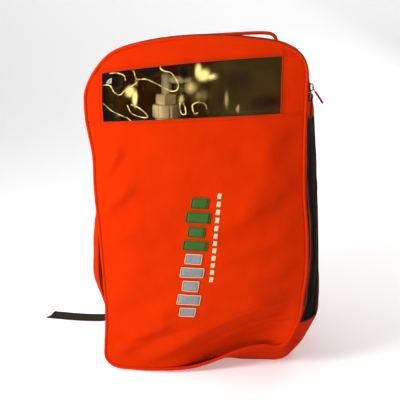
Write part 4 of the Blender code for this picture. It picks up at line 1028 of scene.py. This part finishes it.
def patches_at(x, z, patches):
    """Strength of a list of soft patches at each point (x, z), from 0 to 1."""
    u = (x - WINDOW_X[0]) / (WINDOW_X[1] - WINDOW_X[0])
    v = (z - WINDOW_Z[0]) / (WINDOW_Z[1] - WINDOW_Z[0])
    total = np.zeros_like(u)
    for (cu, cv), (ru, rv), strength in patches:
        total = np.maximum(total, strength * np.exp(-(((u - cu) / ru) ** 2 + ((v - cv) / rv) ** 2)))
    return total


def make_film():
    """Yellowed clear vinyl: painted reflections in thin crest lines, painted glare beside them, painted
    shade.
    """
    finish = principled("clear_vinyl", (0.05, 0.04, 0.012), 0.06, IOR=1.5, Specular_IOR_Level=0.14)
    tree = finish.node_tree
    shader = tree.nodes["Principled BSDF"]
    place, axes = object_place(tree)
    read = {}
    for name in ("glint_crest", "painted_glare", "painted_shade"):
        node = tree.nodes.new("ShaderNodeAttribute")
        node.attribute_name = name
        read[name] = node.outputs["Fac"]
    stretch = tree.nodes.new("ShaderNodeMapping")
    stretch.inputs["Scale"].default_value = (1.0, 0.2, 0.45)
    stretch.inputs["Rotation"].default_value = (0, 0.35, 0)
    tree.links.new(place, stretch.inputs["Vector"])
    streaks = noise_node(tree, stretch.outputs[0], 60, 2.0, 0.5, 0.8)
    uneven = noise_node(tree, place, 160, 1.0, 0.4, 0.3)
    # Painted reflection: a pale thin line along each crest, its edge made ragged by noise.
    reach = math_node(tree, "ADD", read["glint_crest"], math_node(tree, "MULTIPLY", uneven, 0.0009))
    line = math_node(tree, "SUBTRACT", 1.0, soft_step(tree, reach, 0.00075, 0.0014))
    # Painted glare: soft bright patches, broken up by the streaks.
    ragged = math_node(tree, "ADD", read["painted_glare"], scaled(tree, streaks, 0.5, -0.25))
    painted_glare = soft_step(tree, ragged, 0.12, 0.95)
    # The painted highlight: the brighter of the reflection lines and the glare.
    painted_highlight = math_node(tree, "MAXIMUM", line, painted_glare, clamp=True)
    # Painted shade: near-black patches, darkened further along the streaks.
    painted_gloom = math_node(tree, "ADD", read["painted_shade"], math_node(tree, "MULTIPLY", streaks, 0.5))
    dark = soft_step(tree, painted_gloom, 0.30, 1.0)
    tint = mix_colours(tree, streaks, (0.008, 0.005, 0.0005), (0.085, 0.050, 0.006))
    # Painted shade turns the tint near-black.
    tint = mix_colours(tree, dark, tint, (0.004, 0.003, 0.001))
    # The painted highlight turns the colour pale yellow.
    colour = mix_colours(tree, painted_highlight, tint, (0.95, 0.72, 0.24))
    cloudy = math_node(tree, "MULTIPLY", soft_step(tree, axes[0], -0.005, 0.035), 0.48)
    haze = math_node(tree, "ADD", math_node(tree, "MULTIPLY", streaks, 0.22), cloudy)
    # The film is made nearly opaque where painted shade or painted highlight lies.
    haze = math_node(tree, "MAXIMUM", haze, math_node(tree, "MULTIPLY", dark, 0.85))
    alpha = math_node(tree, "MAXIMUM", haze, math_node(tree, "MULTIPLY", painted_highlight, 0.97), clamp=True)
    relief = tree.nodes.new("ShaderNodeBump")
    relief.inputs["Strength"].default_value = 0.3
    relief.inputs["Distance"].default_value = 0.003
    tree.links.new(streaks, relief.inputs["Height"])
    tree.links.new(relief.outputs["Normal"], shader.inputs["Normal"])
    tree.links.new(colour, shader.inputs["Base Color"])
    tree.links.new(alpha, shader.inputs["Alpha"])
    return finish


us = np.linspace(WINDOW_X[0] - 0.004, WINDOW_X[1] + 0.004, 240)
vs = np.linspace(WINDOW_Z[0] - 0.004, WINDOW_Z[1] + 0.004, 80)
film_x, film_z = np.meshgrid(us, vs)
film_points = front_place(film_x, film_z, lift=-0.0024)
film_edge = smooth_between(np.minimum(film_x - us[0], us[-1] - film_x), 0.004, 0.02)
film_edge = film_edge * smooth_between(np.minimum(film_z - vs[0], vs[-1] - film_z), 0.004, 0.016)
glint_crest = glint_crest_distance(film_x, film_z)
ripple = hem_wave(film_points * (1, 0, 1), 0.0030, 34, 5.0) - 0.0012 * np.exp(-((glint_crest / 0.005) ** 2))
film_points[..., 1] += film_edge * ripple
film = cloth("window_vinyl", film_points, [make_film()], thickness=0.0005)
for name, values in (
    ("glint_crest", glint_crest),
    ("painted_glare", patches_at(film_x, film_z, PAINTED_GLARE_PATCHES)),
    ("painted_shade", patches_at(film_x, film_z, PAINTED_SHADE_PATCHES)),
):
    mask = film.data.attributes.new(name, "FLOAT", "POINT")
    mask.data.foreach_set("value", values.astype(np.float32).ravel())
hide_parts("window_film")
belongs(film, "front_flap")


def window_line(margin):
    """A closed line of 240 (x, z) points round the window, a margin outside its edge."""
    x0, x1 = WINDOW_X[0] - margin, WINDOW_X[1] + margin
    z0, z1 = WINDOW_Z[0] - margin, WINDOW_Z[1] + margin
    corners = np.array([(x0, z0), (x1, z0), (x1, z1), (x0, z1), (x0, z0)])
    return spread(corners, np.linspace(0, 1, 241)[:-1])


HEM = with_surface(
    principled("pale_orange_hem", (0.72, 0.07, 0.006), 0.6, Specular_IOR_Level=0.1), OXFORD, 0.3, 0.0002,
    {"Dye": (0.46, 0.034, 0.003), "Deep dye": (0.28, 0.014, 0.001)},
)
hem_route = window_line(0.0002)
hem = tube("window_hem", front_place(hem_route[:, 0], hem_route[:, 1], 0.0001), 0.0007, HEM, True, 8)
belongs(hem, "front_flap")

# ---------------------------------------------------------------- pack: stitching and embroidery
# Twisted orange thread runs beside each seam. A plain embroidered bar pattern stands on the front,
# filled with grey and green satin stitch inside a pale outline, with a line of cream dashes beside it.
THREAD = with_surface(
    principled("orange_thread", (0.55, 0.025, 0.001), 0.5, Specular_IOR_Level=0.1), OXFORD, 0.2, 0.0002,
    {"Dye": (0.60, 0.030, 0.001), "Deep dye": (0.36, 0.012, 0.0005)},
)


def stitches(name, route, facing, pitch=0.0032, size=0.00042):
    """A run of short raised stitches along a line of hung points; facing is the cloth's outward side."""
    route = np.asarray(route)
    lengths = np.concatenate([[0], np.cumsum(np.linalg.norm(np.diff(route, axis=0), axis=1))])
    count = int(lengths[-1] / pitch)
    bm = bmesh.new()
    for k in range(count):
        ends = [
            Vector([np.interp((k + t) * pitch, lengths, route[:, axis]) for axis in range(3)])
            for t in (0.14, 0.86)
        ]
        along = (ends[1] - ends[0]).normalized()
        face = Vector(facing)
        side = along.cross(face).normalized()
        spin = Matrix((along, side, along.cross(side))).transposed().to_4x4()
        shape = Matrix.Diagonal(((ends[1] - ends[0]).length, size * 1.6, size * 1.2, 1))
        middle = (ends[0] + ends[1]) / 2
        bmesh.ops.create_cube(bm, size=1, matrix=Matrix.Translation(middle) @ spin @ shape)
    return with_rounded_edges(name, bm, THREAD, size * 0.35)


def on_front(route, lift=0.0003):
    """Hung points along a line of (x, z) points on the front."""
    route = np.asarray(route)
    return front_place(route[:, 0], route[:, 1], lift)


stitch_line = window_line(0.0035)
stitch_line = np.concatenate([stitch_line, stitch_line[:1]])
window_stitch = stitches("window_stitching", on_front(stitch_line), (0, -1, 0))
belongs(window_stitch, "front_flap")
for k, (z, x0, x1) in enumerate((
    (WINDOW_Z[0] - 0.0028, -0.131, WINDOW_X[0] - 0.006),
    (WINDOW_Z[0] - 0.0028, WINDOW_X[1] + 0.006, 0.131),
    (WINDOW_Z[1] + 0.0028, -0.124, WINDOW_X[0] - 0.006),
    (WINDOW_Z[1] + 0.0028, WINDOW_X[1] + 0.006, 0.124),
)):
    run = stitches(f"seam_stitching_{k}", on_front(np.linspace((x0, z), (x1, z), 20)), (0, -1, 0))
    belongs(run, "front_flap")

BADGE_LOW = (-0.012, 0.102)
BADGE_HIGH = (0.004, 0.252)
DASH_LOW = (0.0190, 0.150)
DASH_HIGH = (0.0290, 0.262)
SATIN_PITCH = 0.0006
BLOCK_SLANT = 0.16


def make_satin_group():
    """Satin stitch: close parallel threads across each bar, a painted soft shine on them and shade between.
    """
    group, given = node_group("satin_stitch", {"Thread": (0.3, 0.32, 0.33), "Shade": (0.12, 0.13, 0.14)})
    place, axes = object_place(group)
    threads = math_node(group, "SINE", math_node(group, "MULTIPLY", axes[2], 2 * math.pi / SATIN_PITCH))
    fuzz = noise_node(group, place, 700, 2)
    # Painted shade and shine: the colour darkens between the threads and lightens on them, in step with their
    # bump.
    share = math_node(group, "ADD", math_node(group, "MULTIPLY", threads, 0.3), fuzz, clamp=True)
    colour = mix_colours(group, share, given.outputs["Shade"], given.outputs["Thread"])
    return put_out(group, colour, threads, scaled(group, fuzz, 0.25, 0.35))


SATIN = make_satin_group()
GREY_STITCH = with_surface(principled("grey_stitch", (0.3, 0.32, 0.33), 0.5), SATIN, 0.4, 0.0002)
GREEN_STITCH = with_surface(
    principled("green_stitch", (0.04, 0.13, 0.01), 0.5, Specular_IOR_Level=0.2), SATIN, 0.4, 0.0002,
    {"Thread": (0.045, 0.15, 0.012), "Shade": (0.012, 0.06, 0.004)},
)
CREAM_STITCH = with_surface(
    principled("cream_stitch", (0.7, 0.6, 0.35), 0.5), SATIN, 0.4, 0.0002,
    {"Thread": (0.75, 0.66, 0.40), "Shade": (0.5, 0.42, 0.22)},
)


def patch_on_front(name, middle, half_size, finish, lift):
    """A raised embroidered block on the front, round a middle point (x, z)."""
    u, v = np.meshgrid(np.linspace(-1, 1, 11), np.linspace(-1, 1, 11))
    x = middle[0] + u * half_size[0] + v * half_size[1] * BLOCK_SLANT
    z = middle[1] + v * half_size[1]
    rise = smooth_between(1 - np.abs(u), 0, 0.2) * smooth_between(1 - np.abs(v), 0, 0.2)
    points = front_place(x, z)
    points[..., 1] -= 0.0004 + lift * rise
    piece = cloth(name, points, [finish], thickness=0.0010)
    belongs(piece, "front_flap")
    return piece


BLOCK_COUNT = 9
for k, t in enumerate(np.linspace(0, 1, BLOCK_COUNT)):
    middle = np.array(BADGE_LOW) * (1 - t) + np.array(BADGE_HIGH) * t
    half_size = (0.0150 if k % 2 else 0.0105, 0.0066)
    filling = GREEN_STITCH if k >= 5 else GREY_STITCH
    patch_on_front(f"badge_block_{k}", middle, half_size, filling, 0.0008)
    corners = [(-1, -1), (1, -1), (1, 1), (-1, 1), (-1, -1)]
    outline = [
        (middle[0] + u * half_size[0] + v * half_size[1] * BLOCK_SLANT, middle[1] + v * half_size[1])
        for u, v in corners
    ]
    outline = spread(np.array(outline), np.linspace(0, 1, 41)[:-1])
    edging = GREEN_STITCH if k >= 5 else CREAM_STITCH
    border = tube(f"badge_border_{k}", on_front(outline, 0.0010), 0.0006, edging, True, 6)
    belongs(border, "front_flap")
DASH_COUNT = 12
for k, t in enumerate(np.linspace(0, 1, DASH_COUNT)):
    middle = np.array(DASH_LOW) * (1 - t) + np.array(DASH_HIGH) * t
    patch_on_front(f"badge_dash_{k}", middle, (0.0026, 0.0034), CREAM_STITCH, 0.0005)

# ---------------------------------------------------------------- pack: carry handle
# Two layers of webbing covered in orange cloth, boxed and stitched to the top gusset at both ends.
# It lies nearly flat.
HANDLE_LINE = (
    (-0.0950, 0.4370), (-0.0905, 0.4415), (-0.078, 0.4440), (-0.045, 0.4495), (0.0, 0.4540),
    (0.045, 0.4565), (0.078, 0.4575), (0.0905, 0.4545), (0.0950, 0.4460),
)
HANDLE_WIDTH = 0.030
HANDLE_MIDDLE = 4
for side, points in (("left", HANDLE_LINE[HANDLE_MIDDLE::-1]), ("right", HANDLE_LINE[HANDLE_MIDDLE:])):
    half_route = smooth_route([(x, 0, z) for x, z in points], 8)
    half = strap(
        f"handle_{side}", half_route, lambda v: Vector((0, 1, 0)), lambda v: HANDLE_WIDTH, 0.0036, ORANGE,
        crown=0.0004, columns=10,
    )
    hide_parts("carry_handle")
    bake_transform(half)

# ---------------------------------------------------------------- pack: padded back
# Foam under the orange cloth, quilted into three panels and swollen by its filling. A double seam
# under the yoke holds the shoulder straps, and a plain sheet of cloth closes the pack behind the foam.
BACK_Y = 0.0700
BACK_INSET = 0.0040


def back_half_width(z):
    """Half of the back's width at a height, a little inside its rim."""
    if z < BASE_CORNER_R:
        reach = (BASE_CORNER_R - BACK_INSET) ** 2 - (BASE_CORNER_R - z) ** 2
        return HALF_WIDTH - BASE_CORNER_R + math.sqrt(max(reach, 0))
    if z > CORNER_Z:
        crown_x = math.sqrt(max((CROWN_R - BACK_INSET) ** 2 - (z - CROWN_Z) ** 2, 0))
        corner = (TOP_CORNER_R - BACK_INSET) ** 2 - (z - CORNER_Z) ** 2
        return crown_x if crown_x < CORNER_X else CORNER_X + math.sqrt(max(corner, 0))
    return HALF_WIDTH - BACK_INSET


back_grid = np.array([
    [(x, BACK_Y, z) for x in np.linspace(-back_half_width(z), back_half_width(z), 44)]
    for z in np.linspace(0.008, PACK_HEIGHT - 0.006, 60)
])
rim_fade = smooth_between(HALF_WIDTH - np.abs(back_grid[..., 0]), 0.003, 0.02)
rim_fade *= smooth_between(back_grid[..., 2], 0.0, 0.02)
rim_fade *= smooth_between(PACK_HEIGHT - back_grid[..., 2], 0.0, 0.02)
PAD_FILL_T = 0.0060
CHANNELS_X = (-0.041, 0.041)
CHANNEL_TOP = 0.372
CHANNEL_DEPTH = 0.0042
CHANNEL_HALF_WIDTH = 0.0060
YOKE_Z = 0.380
YOKE_SEAM_HALF_WIDTH = 0.0040
SETTLING_FRAMES = 20


def applied(piece):
    """Makes what a piece's modifiers show its own mesh."""
    graph = bpy.context.evaluated_depsgraph_get()
    piece.data = bpy.data.meshes.new_from_object(piece.evaluated_get(graph), depsgraph=graph)
    piece.modifiers.clear()
    return piece.data


def filled_out(piece, voxel, cap, pressure=4.0, free=None):
    """Presses a padded piece outwards from within, as its foam does, then lets the cloth settle.
    No point moves further than cap, and free says how freely each point moves, from 0 to 1."""
    scene = bpy.context.scene
    weld = piece.modifiers.new("even_mesh", "REMESH")
    weld.mode = "VOXEL"
    weld.voxel_size = voxel
    finishes = piece.data.materials[:]
    even = applied(piece)
    start = np.array([v.co[:] for v in even.vertices])
    press = piece.modifiers.new("stuffing", "CLOTH")
    press.settings.quality = 4
    press.settings.mass = 0.2
    press.settings.use_pressure = True
    press.settings.uniform_pressure_force = pressure
    press.settings.effector_weights.gravity = 0
    press.point_cache.frame_start = 1
    press.point_cache.frame_end = SETTLING_FRAMES
    for frame_number in range(1, SETTLING_FRAMES + 1):
        scene.frame_set(frame_number)
    graph = bpy.context.evaluated_depsgraph_get()
    settled = bpy.data.meshes.new_from_object(piece.evaluated_get(graph), depsgraph=graph)
    piece.modifiers.clear()
    scene.frame_set(1)
    shift = np.array([v.co[:] for v in settled.vertices]) - start
    far = np.linalg.norm(shift, axis=1, keepdims=True)
    shift *= np.minimum(1, cap / np.maximum(far, 1e-9))
    if free:
        shift *= free(start)[:, None]
    even.vertices.foreach_set("co", (start + shift).astype(np.float32).ravel())
    even.materials.clear()
    for finish in finishes:
        even.materials.append(finish)
    even.shade_smooth()
    finer = piece.modifiers.new("finer", "SUBSURF")
    finer.levels = 1
    finer.render_levels = 1
    applied(piece)


back_points = slump(back_grid)
backing = cloth("back_backing", back_points, [ORANGE, LINING], thickness=0.0020)
belongs(backing, "pack")
back_points[..., 1] += 0.0012 + rim_fade * 0.0035
back = cloth("back_pad", back_points, [ORANGE], thickness=PAD_FILL_T)
applied(back)
filled_out(
    back, 0.004, 0.006,
    free=lambda p: smooth_between(HALF_WIDTH - np.abs(p[:, 0]), 0.006, 0.03)
    * smooth_between(p[:, 2], 0.006, 0.03) * smooth_between(PACK_HEIGHT - 0.015 - p[:, 2], 0.0, 0.03),
)
for vertex in back.data.vertices:
    x, y, z = vertex.co
    outer = smooth_between(y, BACK_Y - 0.004, BACK_Y + 0.001)
    pulled = sum(math.exp(-(((x - channel) / CHANNEL_HALF_WIDTH) ** 2)) for channel in CHANNELS_X)
    pulled *= float(1 - smooth_between(z, CHANNEL_TOP - 0.004, CHANNEL_TOP))
    pulled *= float(smooth_between(z, 0.012, 0.03))
    seam = math.exp(-(((z - YOKE_Z) / YOKE_SEAM_HALF_WIDTH) ** 2))
    seam *= float(smooth_between(HALF_WIDTH - abs(x), 0.004, 0.02))
    vertex.co.y -= outer * CHANNEL_DEPTH * min(1.0, pulled + 0.7 * seam)
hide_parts("back_panel")
belongs(back, "pack")


def on_back(route):
    """Points lying on the outside of the padded back, above a line of (x, z) points."""
    bm = bmesh.new()
    bm.from_mesh(back.data)
    tree = BVHTree.FromBMesh(bm)
    bm.free()
    found = []
    for x, z in route:
        hit = tree.ray_cast(Vector((x, 0.2, z)), Vector((0, -1, 0)))[0]
        if hit:
            found.append((hit.x, hit.y + 0.0002, hit.z))
    return found


for k, (start, end) in enumerate((
    ((CHANNELS_X[0], 0.03), (CHANNELS_X[0], CHANNEL_TOP)),
    ((CHANNELS_X[1], 0.03), (CHANNELS_X[1], CHANNEL_TOP)),
    ((-0.122, YOKE_Z), (0.122, YOKE_Z)),
    ((-0.121, YOKE_Z + 0.004), (0.121, YOKE_Z + 0.004)),
)):
    run = stitches(f"back_stitching_{k}", on_back(np.linspace(start, end, 60)), (0, 1, 0), 0.0036, 0.0006)
    belongs(run, "pack")

# ---------------------------------------------------------------- pack: shoulder straps
# Padded straps: orange cloth outside with a cord of binding down each edge, and black air mesh towards
# the pack, wide over the shoulder. Each ends in a black ladder lock, which grips the webbing from the
# base of the pack.
STRAP_ROUTE = (
    (0.050, 0.0832, 0.424),
    (0.056, 0.0838, 0.398),
    (0.074, 0.0985, 0.358),
    (0.104, 0.1205, 0.308),
    (0.131, 0.1280, 0.250),
    (0.143, 0.1210, 0.195),
    (0.138, 0.1060, 0.145),
)
ANCHOR_ROUTE = (
    (0.1345, 0.0975, 0.1130),
    (0.1325, 0.0905, 0.0800),
    (0.1290, 0.0800, 0.0480),
    (0.1240, 0.0765, 0.0300),
)


def strap_width(v):
    """The pad's width along its length: widest over the shoulder, and narrow at the ladder lock."""
    return 0.044 + 0.016 * math.sin(math.pi * min(1, v * 1.15)) - 0.014 * max(0, v - 0.8) / 0.2


def pad_across(v, sign):
    """Across the pad: nearly level over the shoulder, then turned to lie round the wearer's side."""
    return Vector((sign, -0.3 * max(0.0, min(1.0, (v - 0.2) * 3)), 0.35 * (1 - v)))


for side, sign in (("left", -1), ("right", 1)):
    padded_route = smooth_route([(sign * x, y, z) for x, y, z in STRAP_ROUTE], 8)
    pad = strap(
        f"shoulder_pad_{side}",
        padded_route,
        lambda v, sign=sign: pad_across(v, sign),
        strap_width,
        0.0065,
        ORANGE,
        crown=0.0012,
        columns=12,
    )
    filled_out(pad, 0.003, 0.004)
    pad.data.materials.append(AIR_MESH)
    for face in pad.data.polygons:
        face.material_index = 1 if face.normal.y < -0.35 else 0
    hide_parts(f"shoulder_strap_{side}")
    belongs(pad, "pack")
    for edge, share in (("inner", -0.40), ("outer", 0.40)):
        route = []
        for i, place in enumerate(padded_route[2:-2]):
            v = (i + 2) / (len(padded_route) - 1)
            along = (padded_route[i + 3] - padded_route[i + 1]).normalized()
            across = pad_across(v, sign)
            across = (across - along * across.dot(along)).normalized()
            outside = across.cross(along)
            outside = outside if outside.y > 0 else -outside
            proud = 0.0040
            route.append(place + across * share * strap_width(v) + outside * proud)
        binding = tube(f"strap_binding_{side}_{edge}", route, 0.0011, ORANGE, False, 8)
        belongs(binding, "pack")
    anchor = strap(
        f"anchor_webbing_{side}",
        smooth_route([(sign * x, y, z) for x, y, z in ANCHOR_ROUTE], 8),
        lambda v: Vector((1, 0, 0)),
        lambda v: WEBBING_WIDTH,
        WEBBING_T,
        BLACK_WEBBING,
    )
    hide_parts(f"strap_anchor_{side}")
    belongs(anchor, "pack")

# ---------------------------------------------------------------- concentrator: casing, keys and works
# Injection-moulded shells and keys, and turned, ground and cast metal inside. These pieces keep their
# own shapes, and each takes the finish of what it is made of.


def make_grain_group():
    """Moulded or cast surfaces: fine grain, and slightly different tone in broad patches."""
    group, given = node_group(
        "moulded_grain",
        {"Base": (0.5, 0.5, 0.5), "Patch": (0.45, 0.45, 0.45), "Grain size": 900.0, "Gloss": 0.45},
    )
    place = object_place(group)[0]
    grain_node = group.nodes.new("ShaderNodeTexNoise")
    group.links.new(place, grain_node.inputs["Vector"])
    group.links.new(given.outputs["Grain size"], grain_node.inputs["Scale"])
    patches = noise_node(group, place, 22, 4)
    colour = mix_colours(group, patches, given.outputs["Base"], given.outputs["Patch"])
    rough = scaled(group, patches, 0.15, given.outputs["Gloss"])
    return put_out(group, colour, grain_node.outputs["Fac"], rough)


GRAIN = make_grain_group()


def moulded(name, base, patch_tone, gloss, metallic=0.0, grain=900.0, bump=0.25):
    """A moulded or cast finish: its tone, the tone of its broad patches, and its roughness."""
    return with_surface(
        principled(name, base, gloss, metallic), GRAIN, bump, 0.0002,
        {"Base": base, "Patch": patch_tone, "Gloss": gloss, "Grain size": grain},
    )


FINISHES = {
    "slider_metal": moulded("black_enamel", (0.03, 0.03, 0.03), (0.06, 0.06, 0.06), 0.25, 0.8),
    "casing_plastic": moulded("grey_casing", (0.42, 0.43, 0.43), (0.50, 0.51, 0.51), 0.42),
    "dark_plastic": moulded("dark_moulding", (0.022, 0.023, 0.025), (0.04, 0.04, 0.043), 0.38),
    "cream_plastic": moulded("cream_moulding", (0.95, 0.72, 0.32), (0.90, 0.64, 0.26), 0.35),
    "green_plastic": moulded("green_key", (0.03, 0.26, 0.06), (0.04, 0.32, 0.09), 0.3),
    "aluminium": moulded("turned_aluminium", (0.55, 0.56, 0.58), (0.66, 0.67, 0.69), 0.28, 1.0, 400),
    "steel": moulded("ground_steel", (0.42, 0.42, 0.44), (0.52, 0.52, 0.54), 0.25, 1.0, 300),
    "rubber": moulded("black_rubber", (0.015, 0.015, 0.015), (0.03, 0.03, 0.03), 0.75),
    "foam": moulded("grey_foam", (0.05, 0.05, 0.055), (0.09, 0.09, 0.095), 0.9, 0.0, 1400, 0.9),
    "board_green": moulded("solder_mask", (0.008, 0.10, 0.03), (0.012, 0.15, 0.05), 0.35),
    "silicone": moulded("silicone_hose", (0.55, 0.57, 0.54), (0.62, 0.63, 0.60), 0.3),
    "orange_fabric": ORANGE,
    "black_webbing": BLACK_WEBBING,
}
SLOT_OF = {part["node"]: part["material_slot"] for part in frame["record"]["subparts"]}
for node, piece in frame["nodes"].items():
    finish = FINISHES.get(SLOT_OF.get(node))
    if finish and piece.type == "MESH":
        piece.data.materials.clear()
        piece.data.materials.append(finish)

# ---------------------------------------------------------------- zip sliders and pulls
# Two enamelled die-cast sliders meet at the top right corner: a plate each side of the zip, joined by
# a neck. A wire loop hangs on each one's bridge and holds a folded orange tab, boxed with stitches.
SLIDER_INWARD = 0.0015
# The plate under the zip, the plate over it and the neck between: how far out each starts and ends,
# half its length and half its width. Each narrows below its middle.
SLIDER_BLOCKS = (
    (-0.0036, -0.0022, 0.0054, 0.0040),
    (0.0, 0.0018, 0.0056, 0.0044),
    (-0.0024, 0.0004, 0.0016, 0.0012),
)
TAIL_SHARE = 0.72
BRIDGE_ARCH = ((0.0014, 0.0042), (0.0044, 0.0034), (0.0052, 0.0), (0.0044, -0.0034), (0.0014, -0.0042))
UPPER_PULL_LEAN = math.radians(35)
TAB_START = 0.0070
TAB_END = 0.0235
TAB_BOX = ((0.0095, -0.0030), (0.0095, 0.0030), (0.0215, 0.0033), (0.0215, -0.0033), (0.0095, -0.0030))
METAL = FINISHES["slider_metal"]
for place in ("lower", "upper"):
    low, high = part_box(f"zip_slider_{place}")
    middle_z = (low[2] + high[2]) / 2
    face = low[0] - SLIDER_INWARD
    bm = bmesh.new()
    for inner, outer, half_length, half_width in SLIDER_BLOCKS:
        size = Matrix.Diagonal((outer - inner, 2 * half_width, 2 * half_length, 1))
        centre = Vector((face + (inner + outer) / 2, ZIP_Y, middle_z))
        made = bmesh.ops.create_cube(bm, size=1, matrix=Matrix.Translation(centre) @ size)
        for vertex in made["verts"]:
            if vertex.co.z < middle_z:
                vertex.co.y = ZIP_Y + (vertex.co.y - ZIP_Y) * TAIL_SHARE
    slider = with_rounded_edges(f"slider_{place}", bm, METAL, 0.0006, 3)
    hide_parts(f"zip_slider_{place}")
    belongs(slider, f"zip_slider_{place}")
    arch = smooth_route([(face + out, ZIP_Y, middle_z + rise) for out, rise in BRIDGE_ARCH], 5)
    bridge = tube(f"slider_bridge_{place}", arch, 0.0007, METAL)
    belongs(bridge, f"zip_slider_{place}")
    low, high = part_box(f"zip_pull_{place}")
    pin = Vector((face + 0.0042, ZIP_Y, high[2] - 0.0008))
    lean = 0.0 if place == "lower" else UPPER_PULL_LEAN
    hang = Vector((math.sin(lean), 0, -math.cos(lean)))
    ring = [
        pin + hang * (0.0040 - 0.0046 * math.cos(a)) + Vector((0, 0.0030 * math.sin(a), 0))
        for a in np.linspace(0, 2 * math.pi, 25)[:-1]
    ]
    loop = tube(f"pull_wire_{place}", ring, 0.0006, METAL, True, 8)
    belongs(loop, f"zip_pull_{place}")
    tab_route = [pin + hang * t for t in np.linspace(TAB_START, TAB_END, 12)]
    tab = strap(
        f"pull_tab_{place}", tab_route, lambda v: Vector((0, 1, 0)), lambda v: 0.0085 + 0.0015 * v, 0.0020,
        ORANGE, crown=0.0002,
    )
    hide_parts(f"zip_pull_{place}")
    belongs(tab, f"zip_pull_{place}")
    side = Vector((0, 1, 0)).cross(hang).normalized()
    side = side if side.x > 0 else -side
    seam = [pin + hang * t + side * 0.0012 + Vector((0, y, 0)) for t, y in TAB_BOX]
    run = stitches(f"pull_stitching_{place}", seam, side, 0.0019, 0.0003)
    belongs(run, f"zip_pull_{place}")
